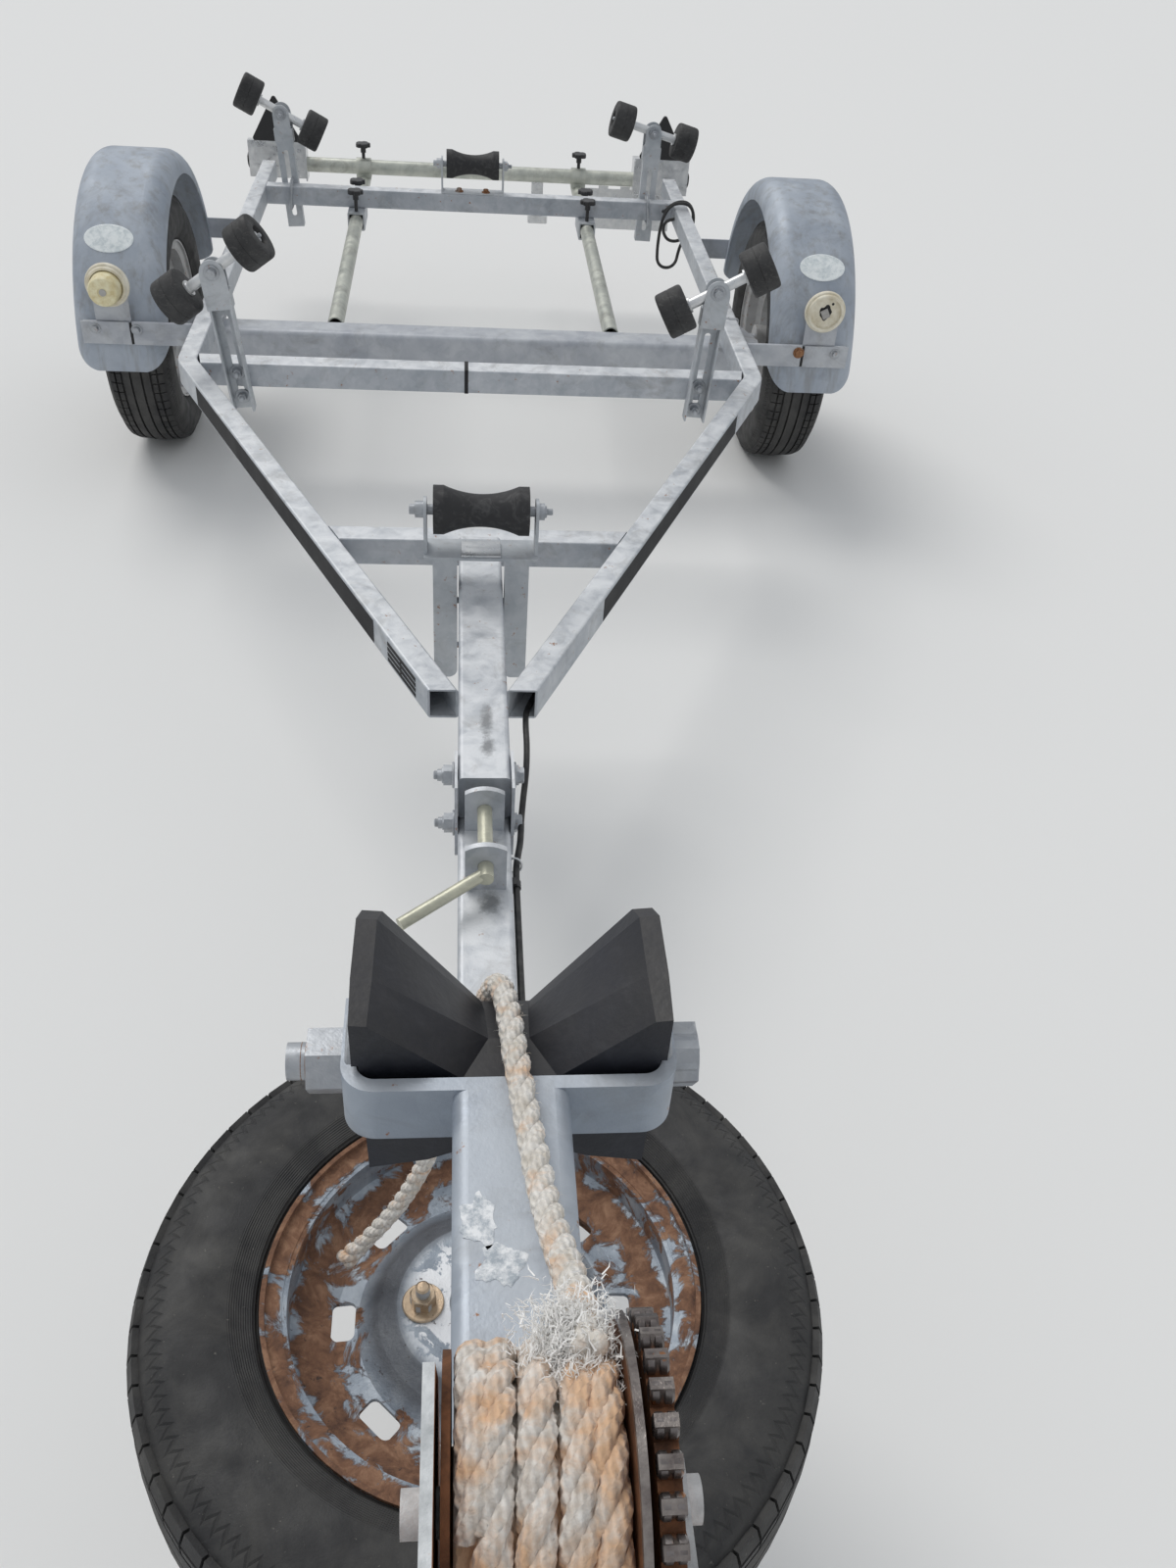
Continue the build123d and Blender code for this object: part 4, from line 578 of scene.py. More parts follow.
# Small steel parts: bolts and nuts of dull zinc, rocker axles and lamp carriers of brighter
# plate, the latch pin in yellow zinc, and a light bar gone greenish with dark smudges.
bolt_finish = zinc("bolt_zinc", (0.54, 0.56, 0.58), (0.32, 0.34, 0.37), mottle=60, rough=0.42, metal=0.6,
                   grime=0.35, rust=0.4)
bright_finish = zinc("bright_zinc_plate", (0.80, 0.80, 0.79), (0.56, 0.58, 0.60), mottle=40, rough=0.34,
                     metal=0.75, grime=0.25)
yellow_finish = zinc("yellow_zinc_plate", (0.66, 0.65, 0.52), (0.42, 0.42, 0.34), mottle=40, rough=0.4,
                     metal=0.6, grime=0.3)
for node in ("pivot_bolts", "keel_pins", "chock_bolt"):
    dress(node, bolt_finish)
PAIRS = ("front_left", "front_right", "rear_left", "rear_right")
for node in [f"rocker_{pair}" for pair in PAIRS] + ["lamp_plates", "jockey_tube", "jockey_leg"]:
    dress(node, bright_finish)
bar_finish = zinc("light_bar_zinc", (0.66, 0.67, 0.60), (0.40, 0.42, 0.38), mottle=24, rough=0.44,
                  metal=0.6, grime=0.55, streak=0.25)
dress("light_bar", bar_finish)
dress("latch_pin", yellow_finish)


# Black parts: the moulded bow chock, keel rollers, knobs and plug. The rubber and plastic
# have pale scuffs, and brown dust lies on the chock's upper faces.
def black(name, deep=(0.014, 0.014, 0.015), scuffed=(0.10, 0.10, 0.10), rough=0.5, grains=260, wear=0.6,
          dust=0.0):
    finish, tree, shader, place = start_finish(name, rough)
    cloud = grain(tree, place, 9, 5, 0.65, 0.4)
    scuff = ramp(tree, grain(tree, place, 46, 7, 0.72, 1.2), (0.50, 0.0), (0.74, wear))
    shade = ramp(tree, cloud, (0.3, deep), (0.75, tuple(c * 2.4 for c in deep)))
    colour = blended(tree, scuff, shade, scuffed)
    if dust:
        lies = product(tree, ramp(tree, facing(tree)[2], (0.55, 0.0), (0.95, dust)),
                       grain(tree, place, 70, 6, 0.7))
        colour = blended(tree, lies, colour, (0.27, 0.24, 0.19))
    paint(tree, shader, colour, ramp(tree, cloud, (0.3, rough - 0.08), (0.7, rough + 0.14)))
    relief(tree, shader, grain(tree, place, grains, 3), 0.0006, 0.4)
    return finish


chock_finish = black("chock_moulding", (0.0065, 0.0075, 0.0115), (0.042, 0.044, 0.055), 0.5, wear=0.35,
                     dust=0.16)
plastic_finish = black("black_moulding", rough=0.42)
keel_finish = black("keel_roller_rubber", (0.012, 0.012, 0.013), (0.12, 0.12, 0.12), 0.62, 180)
dress("bow_chock", chock_finish)
for node in ("slide_knobs", "bar_knobs", "lead_fittings"):
    dress(node, plastic_finish)
for node in ("keel_roller_front", "keel_roller_rear", "jockey_wheel"):
    dress(node, keel_finish)

# Lamps and reflectors: moulded black backs with red lenses, and the marker lamps' cream
# plastic, yellowed in blotches. A lens is told from its back by the way it faces.
cream_finish = speckled("lamp_cream_base", 0.55, (30, 5, 0.65),
                        ((0.35, (0.62, 0.56, 0.42)), (0.65, (0.84, 0.80, 0.68))), (300, 3), 0.0006)
for node, name, turn_at in (("rear_lamps", "rear_lamp_case", -0.35), ("reflectors", "reflector_back", 0.5)):
    case, tree, shader, place = start_finish(name, 0.4)
    lens = ramp(tree, sums(tree, "ADD", product(tree, facing(tree)[1], 0.5), 0.5),
                (0.5 + turn_at / 2 - 0.02, 0.0), (0.5 + turn_at / 2 + 0.02, 1.0))
    red = ramp(tree, grain(tree, place, 24, 4), (0.35, (0.20, 0.012, 0.012)), (0.7, (0.40, 0.03, 0.025)))
    paint(tree, shader, blended(tree, lens, (0.018, 0.018, 0.019), red),
          ramp(tree, lens, (0.3, 0.5), (0.7, 0.16)))
    relief(tree, shader, grain(tree, place, 160, 2), 0.0004, 0.4)
    dress(node, case)

# Winch: plain rusted sheet cheeks with grey cut edges, a steel drum, and a gear that has
# rusted between its teeth and shines at their tips.
rust_finish, tree, shader, place = start_finish("rusted_sheet", 0.8, 0.15)
coat = ramp(tree, grain(tree, place, 36, 6, 0.7, 0.6), (0.32, (0.10, 0.045, 0.022)),
            (0.5, (0.26, 0.12, 0.055)), (0.68, (0.40, 0.22, 0.11)))
bare = ramp(tree, grain(tree, place, 14, 4, 0.6), (0.54, 0.0), (0.60, 0.75))
paint(tree, shader, blended(tree, bare, coat, (0.42, 0.40, 0.37)))
relief(tree, shader, grain(tree, place, 200, 5, 0.7), 0.0014, 0.7)
cheek_finish, tree, shader, place = start_finish("winch_cheek_sheet", 0.62, 0.3)
flat_side = ramp(tree, sums(tree, "ABSOLUTE", facing(tree)[0]), (0.72, 0.0), (0.9, 1.0))
coat = ramp(tree, grain(tree, place, 42, 6, 0.7, 0.6), (0.30, (0.14, 0.060, 0.030)),
            (0.5, (0.34, 0.15, 0.075)), (0.70, (0.46, 0.25, 0.14)))
edge = ramp(tree, grain(tree, place, 60, 5, 0.65), (0.35, (0.42, 0.44, 0.45)), (0.62, (0.66, 0.68, 0.69)),
            (0.72, (0.50, 0.34, 0.24)))
paint(tree, shader, blended(tree, flat_side, edge, coat))
relief(tree, shader, grain(tree, place, 220, 5, 0.7), 0.001, 0.6)
dress("winch_frame", cheek_finish)

gear_finish, tree, shader, place = start_finish("winch_gear_steel", 0.42, 0.7)
drum_middle = middle_of("winch_drum")
reach = far_from(tree, place, drum_middle, (0, 1, 1))
tips = ramp(tree, product(tree, reach, 10), (0.575, 0.0), (0.605, 1.0))
root_rust = ramp(tree, grain(tree, place, 60, 6, 0.7, 0.5), (0.32, (0.075, 0.036, 0.022)),
                 (0.6, (0.24, 0.11, 0.055)))
steel = ramp(tree, grain(tree, place, 90, 5, 0.65), (0.35, (0.12, 0.10, 0.095)), (0.65, (0.30, 0.27, 0.25)))
paint(tree, shader, blended(tree, tips, root_rust, steel),
      ramp(tree, tips, (0.2, 0.75), (0.8, 0.32)))
relief(tree, shader, grain(tree, place, 240, 4, 0.7), 0.0008, 0.5)
dress("winch_drum", gear_finish)

# Wheels: pressed steel rims. The road wheels are silver; the spare is grey-blue with heavy
# rust on its flange and in its well.
silver_finish = zinc("wheel_silver_paint", (0.62, 0.62, 0.62), (0.42, 0.42, 0.42), mottle=20, rough=0.45,
                     metal=0.5, rust=0.8)
for node in ("wheel_left", "wheel_right"):
    dress(node, silver_finish)

# The spare's rim is painted grey-blue. Its bead seat, its well's step and the slots' edges
# have rusted, and white flakes lie on its centre plate.
rim_finish, tree, shader, place = start_finish("spare_rim_paint", 0.55, 0.25)
reach = product(tree, far_from(tree, place, middle_of("spare_rim"), (1, 1, 0)), 5)
grey = ramp(tree, grain(tree, place, 24, 5, 0.65, 0.5), (0.3, (0.15, 0.18, 0.22)),
            (0.5, (0.27, 0.31, 0.36)), (0.68, (0.42, 0.46, 0.50)))
rusts = ramp(tree, grain(tree, place, 52, 7, 0.72, 0.5), (0.32, (0.085, 0.045, 0.032)),
             (0.5, (0.21, 0.108, 0.064)), (0.7, (0.38, 0.225, 0.14)))
likely = ramp(tree, reach, (0.20, 0.22), (0.44, 0.24), (0.52, 0.44), (0.66, 0.56), (0.72, 0.66),
              (0.80, 0.46), (0.86, 0.62), (0.905, 0.56))
patch = sums(tree, "ADD", grain(tree, place, 30, 7, 0.70, 0.7), sums(tree, "SUBTRACT", likely, 0.655))
rusted = ramp(tree, patch, (0.32, 0.0), (0.38, 1.0))
shadow = ramp(tree, reach, (0.32, 0.0), (0.37, 0.75), (0.46, 0.75), (0.52, 0.0))
flakes = ramp(tree, grain(tree, place, 48, 6, 0.66, 0.5), (0.44, 0.0), (0.48, 0.85))
flaked = product(tree, flakes, ramp(tree, reach, (0.28, 1.0), (0.35, 0.0)))
pits = ramp(tree, grain(tree, place, 120, 5, 0.7), (0.64, 0.0), (0.68, 0.85))
colour = blended(tree, shadow, grey, (0.075, 0.075, 0.080))
colour = blended(tree, rusted, colour, rusts)
colour = blended(tree, flaked, colour, (0.80, 0.81, 0.83))
colour = blended(tree, pits, colour, (0.05, 0.036, 0.032))
paint(tree, shader, colour, ramp(tree, rusted, (0.3, 0.45), (0.7, 0.85)))
relief(tree, shader, sums(tree, "ADD", rusted, grain(tree, place, 200, 5, 0.7)), 0.0012, 0.7)
dress("spare_rim", rim_finish)


# Tyres: black radials with bare ribs on the sidewalls, five ribs of tread and a row of
# lugs with thin sipes at each shoulder. One is turned, and copied to the wheels and spare.
def pick(piece, wanted):
    """Selects the faces whose middle and normal are wanted, in edit mode."""
    bpy.ops.mesh.select_mode(type="FACE")
    bpy.ops.mesh.select_all(action="DESELECT")
    shape = bmesh.from_edit_mesh(piece.data)
    for face in shape.faces:
        face.select = wanted(face.calc_center_median(), face.normal)
    bmesh.update_edit_mesh(piece.data)


def turned(name, outline, steps, closed=True):
    """A shape turned about X at the origin. The outline is radius and place along X, in millimetres."""
    bpy.ops.object.select_all(action="DESELECT")
    bpy.ops.mesh.primitive_plane_add(size=0.002)
    piece = bpy.context.object
    piece.name = name
    bpy.ops.object.mode_set(mode="EDIT")
    bpy.ops.mesh.select_mode(type="VERT")
    bpy.ops.mesh.merge(type="CENTER")
    spots = [Vector((along, 0, radius)) / 1000 for radius, along in outline]
    bpy.ops.transform.translate(value=spots[0])
    for before, after in zip(spots, spots[1:] + spots[:1] * closed):
        bpy.ops.mesh.extrude_region_move(TRANSFORM_OT_translate={"value": after - before})
    bpy.ops.mesh.select_all(action="SELECT")
    bpy.ops.mesh.remove_doubles(threshold=1e-6)
    bpy.ops.mesh.spin(steps=steps, angle=2 * pi, center=(0, 0, 0), axis=(1, 0, 0))
    bpy.ops.mesh.select_all(action="SELECT")
    bpy.ops.mesh.remove_doubles(threshold=1e-6)
    bpy.ops.mesh.normals_make_consistent(inside=False)
    bpy.ops.object.mode_set(mode="OBJECT")
    return piece


def smooth(piece, angle=35):
    only(piece)
    bpy.ops.object.shade_smooth_by_angle(angle=radians(angle))


def copied(piece, name, place):
    """A copy with its own mesh, put where it belongs."""
    twin = piece.copy()
    twin.data = piece.data.copy()
    twin.name = name
    bpy.context.scene.collection.objects.link(twin)
    twin.data.transform(place)
    return twin


def joined(name, parts):
    bpy.ops.object.select_all(action="DESELECT")
    for part in parts:
        part.select_set(True)
    bpy.context.view_layer.objects.active = parts[0]
    bpy.ops.object.join()
    parts[0].name = name
    return parts[0]


def settle(piece, body, finish, slot=None, *nodes):
    """The last step of a piece: its finish, its body, the nodes it stands for."""
    piece.data.materials.clear()
    piece.data.materials.append(finish)
    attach(piece, body)
    if nodes:
        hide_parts(*nodes)


half_tyre = [
    (165.6, 53), (178, 56.5), (184, 59), (187.5, 66.5), (191, 67.5), (204, 75.3), (207, 76.2), (219, 78.0),
    (222, 78.4), (231, 78.4), (243, 77.6), (246, 77.4), (258, 73.6), (261, 72.2), (271, 65.2), (275, 60.5),
    (280.6, 46.5), (280.8, 34), (280.9, 30), (282.6, 14), (282.6, 10),
]
tyre = turned("tyre_form", half_tyre + [(radius, -along) for radius, along in reversed(half_tyre)], 72)
bpy.ops.object.mode_set(mode="EDIT")
pick(tyre, lambda middle, normal: 0.034 < abs(middle.x) < 0.0545 and Vector(middle.yz).length > 0.272)
bpy.ops.mesh.inset(thickness=0.0011, use_individual=True)
bpy.ops.mesh.extrude_region_shrink_fatten(TRANSFORM_OT_shrink_fatten={"value": 0.0056})
pick(tyre, lambda middle, normal: Vector(middle.yz).length > 0.28
     and (abs(middle.x) < 0.009 or 0.015 < abs(middle.x) < 0.029))
bpy.ops.mesh.extrude_region_shrink_fatten(TRANSFORM_OT_shrink_fatten={"value": 0.0058})
bpy.ops.object.mode_set(mode="OBJECT")
round_map = tyre.data.uv_layers.new(name="round")
for face in tyre.data.polygons:
    first = atan2(face.center.y, face.center.z)
    for loop in face.loop_indices:
        spot = tyre.data.vertices[tyre.data.loops[loop].vertex_index].co
        angle = atan2(spot.y, spot.z)
        angle += 2 * pi * round((first - angle) / (2 * pi))
        round_map.data[loop].uv = (angle / (2 * pi), Vector(spot.yz).length)
smooth(tyre, 32)

tyre_finish, tree, shader, place = start_finish("tyre_rubber", 0.7)
round_uv = tree.nodes.new("ShaderNodeUVMap")
round_uv.uv_map = "round"
parts = tree.nodes.new("ShaderNodeSeparateXYZ")
tree.links.new(round_uv.outputs["UV"], parts.inputs[0])
about, reach = parts.outputs["X"], parts.outputs["Y"]
film = ramp(tree, grain(tree, place, 16, 6, 0.68, 0.5), (0.40, (0.020, 0.020, 0.021)),
            (0.72, (0.058, 0.056, 0.052)))
specks = ramp(tree, grain(tree, place, 240, 3, 0.6), (0.68, 0.0), (0.74, 0.5))
worn = ramp(tree, sums(tree, "SUBTRACT", reach, 0.2865), (0.0, 0.0), (0.0025, 0.55))
rubber = blended(tree, specks, film, (0.17, 0.16, 0.14))
paint(tree, shader, blended(tree, worn, rubber, (0.10, 0.097, 0.090)),
      ramp(tree, grain(tree, place, 30, 4), (0.35, 0.58), (0.65, 0.78)))
saw = sums(tree, "PINGPONG", product(tree, about, 288), 1.0)
zigzag = sums(tree, "SUBTRACT", reach, sums(tree, "ADD", product(tree, saw, 0.0085), 0.2585))
teeth = ramp(tree, sums(tree, "ABSOLUTE", zigzag), (0.0009, 1.0), (0.0022, 0.0))
ribs = sums(tree, "SINE", product(tree, reach, 3600))
near_rim = ramp(tree, reach, (0.2035, 1.0), (0.2045, 0.0))
fine_ribs = product(tree, ribs, near_rim)
height = sums(tree, "ADD", product(tree, teeth, -1.2), product(tree, fine_ribs, 0.25))
height = sums(tree, "ADD", height, product(tree, grain(tree, place, 500, 3), 0.25))
relief(tree, shader, height, 0.0016, 0.9)
# The turn that takes a form from the X axis to the Z axis
STAND_UP = Matrix.Rotation(-pi / 2, 4, "Y")
for name, node, body, lie in (
    ("road_tyre_left", "tyre_left", "road_wheel_left", Matrix.Identity(4)),
    ("road_tyre_right", "tyre_right", "road_wheel_right", Matrix.Identity(4)),
    ("spare_tyre_laid", "spare_tyre", "drawbar", STAND_UP),
):
    settle(copied(tyre, name, Matrix.Translation(middle_of(node)) @ lie), body, tyre_finish, "tyre", node)
bpy.data.objects.remove(tyre)


# Side rollers: black rubber drums with rounded shoulders and a mould seam round the middle.
# The outer end is hollowed round the axle, with a push-on steel washer at its bottom.
half_roller = [(11.2, -29), (40, -29), (44.6, -27.6), (46.6, -24.5), (47, -20), (47, -0.9), (46.3, -0.5)]
roller = turned("roller_form", half_roller + [
    (46.3, 0.5), (47, 0.9), (47, 20), (46.6, 24.5), (44.6, 27.6), (40, 29), (24, 29), (20.5, 28),
    (18.5, 24), (17, 11.2), (11.2, 11),
], 64)
smooth(roller, 28)
hub_washer = turned("washer_form", [
    (11.1, 11.4), (15.6, 11.4), (16, 12.2), (15.4, 13.4), (12.4, 14.6), (11.1, 14.4),
], 32)
smooth(hub_washer, 30)
roller_finish, tree, shader, place = start_finish("roller_rubber_black", 0.66)
skin = ramp(tree, grain(tree, place, 11, 6, 0.68, 0.5), (0.34, (0.013, 0.013, 0.014)),
            (0.72, (0.050, 0.050, 0.050)))
scuffs = ramp(tree, grain(tree, stretch(tree, place, (1, 1, 2.2)), 58, 7, 0.75, 1.4), (0.53, 0.0),
              (0.70, 0.55))
flecks = ramp(tree, grain(tree, place, 320, 3, 0.6), (0.68, 0.0), (0.73, 0.45))
skin = blended(tree, scuffs, skin, (0.115, 0.113, 0.108))
paint(tree, shader, blended(tree, flecks, skin, (0.20, 0.195, 0.18)),
      ramp(tree, grain(tree, place, 24, 4), (0.3, 0.55), (0.7, 0.8)))
relief(tree, shader, sums(tree, "ADD", grain(tree, place, 240, 4), grain(tree, place, 36, 3)), 0.0009, 0.5)
for pair in PAIRS:
    pivot = middle_of(f"rocker_{pair}")
    for end in "ab":
        node = f"roller_{pair}_{end}"
        middle = middle_of(node)
        outward = (middle - pivot).normalized()
        lie = Matrix.Translation(middle) @ Vector((1, 0, 0)).rotation_difference(outward).to_matrix().to_4x4()
        settle(copied(roller, f"{node}_drum", lie), node, roller_finish, "roller_rubber", node)
        settle(copied(hub_washer, f"{node}_washer", lie), node, bolt_finish, "bolt_steel")
bpy.data.objects.remove(roller)
bpy.data.objects.remove(hub_washer)


# Winch gear: each tooth's crown is rounded and grooved by wear, and shines like a stud. One
# crown is turned, and copied round the gear.
GEAR_TEETH = 32
GEAR_X, CROWN_REACH = 0.034, 0.0585
crown = turned("gear_crown", [
    (0.02, -4.1), (3.2, -4.1), (4.1, -3.2), (4.1, -1.0), (3.1, -0.4), (3.1, 0.4), (4.1, 1.0), (4.1, 3.2),
    (3.2, 4.1), (0.02, 4.1),
], 20, closed=False)
smooth(crown, 40)
crowns = []
for step in range(GEAR_TEETH):
    angle = 2 * pi * step / GEAR_TEETH
    spot = (GEAR_X, drum_middle.y - CROWN_REACH * sin(angle), drum_middle.z + CROWN_REACH * cos(angle))
    crowns.append(copied(crown, "crown", Matrix.Translation(spot)))
bpy.data.objects.remove(crown)
crown_finish = zinc("gear_crown_steel", (0.26, 0.24, 0.235), (0.085, 0.07, 0.065), mottle=110, rough=0.32,
                    metal=0.85, rust=0.8)
settle(joined("winch_gear_crowns", crowns), "drawbar", crown_finish, "bright_zinc")


# Bolts and nuts: hexagons with turned-off corners on flat washers, the nuts with a
# threaded end standing out. Each is made once, at 10 mm across, and copied to its places.
def washer_form():
    washer = turned("washer", [(3.2, 0), (8.6, 0), (9.1, 0.4), (9.1, 1.3), (8.7, 1.7), (3.2, 1.7)], 28)
    washer.data.transform(STAND_UP)
    return washer


def hexagon(high):
    """A hexagon 10 mm across that stands on the washer at the origin, cut by a turned cone."""
    low = 1.6
    top = low + high
    bpy.ops.object.select_all(action="DESELECT")
    bpy.ops.mesh.primitive_cylinder_add(vertices=6, radius=0.01 / sqrt(3), depth=high / 1000,
                                        location=(0, 0, (low + high / 2) / 1000))
    piece = bpy.context.object
    piece.name = "hexagon"
    bpy.ops.object.transform_apply(location=True, rotation=True, scale=True)
    cone = turned("cone", [
        (0.02, low - 0.4), (5.3, low - 0.4), (5.9, low + 0.6), (5.9, top - 0.8), (4.9, top), (0.02, top),
    ], 36)
    cone.data.transform(STAND_UP)
    cut = piece.modifiers.new("cut", "BOOLEAN")
    cut.operation = "INTERSECT"
    cut.object = cone
    bpy.context.view_layer.objects.active = piece
    bpy.ops.object.modifier_apply(modifier="cut")
    bpy.data.objects.remove(cone)
    return piece


def thread_spots(root, crest, start, pitch):
    """The zigzag of a thread of nine turns: radius and place of each root and crest."""
    return [spot for step in range(9)
            for spot in ((root, start + step * pitch), (crest, start + (step + 0.5) * pitch))]


stud = turned("stud", [(0.02, 6)] + thread_spots(2.75, 3.1, 6, 0.9) + [(2.3, 14.4), (0.02, 14.6)], 20,
              closed=False)
stud.data.transform(STAND_UP)
nut = joined("nut_form", [hexagon(7.2), washer_form(), stud])
smooth(nut, 25)
head = hexagon(5.6)
bpy.ops.object.mode_set(mode="EDIT")
pick(head, lambda middle, normal: normal.z > 0.9)
bpy.ops.mesh.inset(thickness=0.0008)
bpy.ops.transform.translate(value=(0, 0, -0.0003))
bpy.ops.object.mode_set(mode="OBJECT")
head = joined("head_form", [head, washer_form()])
smooth(head, 25)
fastener_forms = {"nut": nut, "head": head}


def pointed(spot, along):
    """The matrix that puts a piece's foot at a spot, with its Z axis along a direction."""
    return Matrix.Translation(spot) @ Vector(along).to_track_quat("Z", "Y").to_matrix().to_4x4()


def fasten(name, body, rows, finish=bolt_finish):
    """Puts bolts in place. Columns: kind, size across, place, the way it points, its turn."""
    parts = []
    for kind, across, spot, along, turn in rows:
        lie = pointed(at(*spot), along) @ Matrix.Rotation(radians(turn), 4, "Z")
        parts.append(copied(fastener_forms[kind], "bolt", lie @ Matrix.Scale(across / 10, 4)))
    settle(joined(name, parts), body, finish, "bolt_steel")


# Columns: pivot X and Z, foot X and Z, face Y, the way that it looks
UPRIGHTS = (
    (-520, 614, -487, 326, -13, -1),
    (491, 612, 473, 333, -13, -1),
    (-530, 597, -509, 300, 1298, 1),
    (513, 595, 506, 300, 1298, 1),
)
rows = []
for pivot_x, pivot_z, foot_x, foot_z, face, way in UPRIGHTS:
    for height, turn in ((403, 8), (352, 21)):
        foot = foot_x + (height - foot_z) / (pivot_z - foot_z) * (pivot_x - foot_x)
        if way < 0:
            rows.append(("nut", 17, (foot, face - 4, height), (0, -1, 0), turn))
    rows.append(("head", 17, (pivot_x, face + way * 31, pivot_z), (0, way, 0), 12))
    rows.append(("nut", 17, (pivot_x, face, pivot_z), (0, -way, 0), 24))
fasten("upright_fasteners", "frame", rows)
STAY_FACE, STAY_BACK = 193.2, 948.6
rows = []
for side in (-1, 1):
    for reach, turn in ((739, 10), (827, 27)):
        if side * reach != 739:
            rows.append(("head", 13, (side * reach, STAY_FACE, 404), (0, -1, 0), turn))
        rows.append(("head", 13, (side * reach, STAY_BACK, 396), (0, 1, 0), turn + 9))
fasten("stay_fasteners", "frame", rows)
fasten("stay_bolt_rusty", "frame", [("head", 14, (741, STAY_FACE, 404), (0, -1, 0), 16)], rust_finish)

# Hinge: two M12 bolts through the cheek plates, with nuts and thread ends at the left. The
# front roller's stem has an M10 bolt through the tube and one under it, the left ends rusty.
CHEEK_OUT, HINGE_Y = 39.3, -1342
STEM_OUT, STEM_Y, STEM_HEIGHTS = 42.6, -880, (393, 307)
KEEL_OUT = 86.4
rows = []
for height, turn in ((322.5, 12), (407.5, 25)):
    rows.append(("nut", 19.6, (-CHEEK_OUT, HINGE_Y, height), (-1, 0, 0), turn))
    rows.append(("head", 19.6, (CHEEK_OUT, HINGE_Y, height), (1, 0, 0), turn + 8))
fasten("hinge_fasteners", "frame", rows)
for kind, side, name, finish in (("head", 1, "right", bolt_finish), ("nut", -1, "left", rust_finish)):
    rows = [(kind, 16.4, (side * STEM_OUT, STEM_Y, height), (side, 0, 0), 14) for height in STEM_HEIGHTS]
    fasten(f"stem_fasteners_{name}", "frame", rows, finish)
fasten("keel_fasteners", "frame", [
    ("nut", 17, (side * KEEL_OUT, y, z), (side, 0, 0), 9 + side * 6)
    for y, z in ((-870, 549), (ROLLER_CROSS_Y, 495)) for side in (-1, 1)
])
fasten("keel_base_screws", "frame", [("head", 13, (x, 1266, 425.2), (0, 0, 1), 20) for x in (-38, 38)],
       rust_finish)

# Chock: its M20 bolt has a large nut and washer at each end of the fork, and its left end
# stands out as a rusty thread.
POST_X, CHOCK_Y, CHOCK_Z = -5, -2240, 950
FORK_OUT, THREAD_OUT = 80.4, 111
fasten("chock_fasteners", "drawbar", [
    ("head", 30, (POST_X + side * FORK_OUT, CHOCK_Y, CHOCK_Z), (side, 0, 0), 14 - side * 8)
    for side in (-1, 1)
])
thread = turned("chock_thread", [(0.02, 0)] + thread_spots(9.1, 10.2, 0, 2.4) + [(8.6, 21.8), (0.02, 22)], 28,
                closed=False)
thread.data.transform(Matrix.Translation(at(POST_X - THREAD_OUT, CHOCK_Y, CHOCK_Z)))
smooth(thread, 25)
settle(thread, "drawbar", rust_finish, "bolt_steel")

# Side roller axles: each is a round bar with a lock nut and washer on both ends, sunk in
# the rollers' recesses so that the boat can't catch them.
for pair in PAIRS:
    pivot = middle_of(f"rocker_{pair}")
    parts = []
    for end in "ab":
        outward = (middle_of(f"roller_{pair}_{end}") - pivot).normalized()
        lie = pointed(pivot + outward * 0.1030, outward) @ Matrix.Rotation(0.3, 4, "Z") @ Matrix.Scale(1.4, 4)
        parts.append(copied(fastener_forms["nut"], "axle_nut", lie))
    settle(joined(f"axle_nuts_{pair}", parts), f"rocker_{pair}", bolt_finish, "bright_zinc")

# Spare: held down by two studs through its bolt holes. Their nuts and washers are brassy
# with rust.
brass_finish = zinc("stud_brassy", (0.62, 0.50, 0.36), (0.34, 0.24, 0.16), mottle=70, rough=0.35, metal=0.7,
                    grime=0.2, rust=0.4)
fasten("spare_nuts", "drawbar", [
    ("nut", 19.4, (-12 + side * 50, -2120, 470.5), (0, 0, 1), 20) for side in (-1, 1)
], brass_finish)

for form in fastener_forms.values():
    bpy.data.objects.remove(form)


# Stays: each is two straps of 50 mm flat bar that meet on the guard, with a slit between
# their ends. A thin black strip in the slit is painted shade, so the slit shows dark.
def slab(name, low, high, soft=0.6, segments=2):
    """A block between two corners in frame millimetres, its edges bevelled."""
    low, high = at(*low), at(*high)
    bpy.ops.object.select_all(action="DESELECT")
    bpy.ops.mesh.primitive_cube_add(size=1, location=(low + high) / 2, scale=high - low)
    piece = bpy.context.object
    piece.name = name
    bpy.ops.object.transform_apply(location=True, rotation=True, scale=True)
    bpy.ops.object.mode_set(mode="EDIT")
    bpy.ops.mesh.select_all(action="SELECT")
    bpy.ops.mesh.bevel(offset=soft / 1000, segments=segments)
    bpy.ops.object.mode_set(mode="OBJECT")
    smooth(piece, 40)
    return piece


# Painted shade: a near-black finish for the thin strip that stands in the slit between the straps' ends.
slit_shade_finish = black("slit_painted_shade", (0.012, 0.012, 0.012), (0.03, 0.03, 0.03), 0.75)
for side, name in ((-1, "left"), (1, "right")):
    straps = []
    for near, far in ((621, 748), (754, 856.5)):
        low, high = sorted((side * near, side * far))
        straps.append(slab("strap", (low, STAY_FACE, 370.3), (high, STAY_FACE + 2.4, 419.7)))
    settle(joined(f"stay_straps_{name}", straps), "frame", stay_zinc, "galvanised")
    low, high = sorted((side * 748.4, side * 753.6))
    slit_shade_strip = slab(f"stay_slit_{name}", (low, 194.4, 371), (high, 195.3, 419), 0.1, 1)
    settle(slit_shade_strip, "frame", slit_shade_finish, "galvanised")
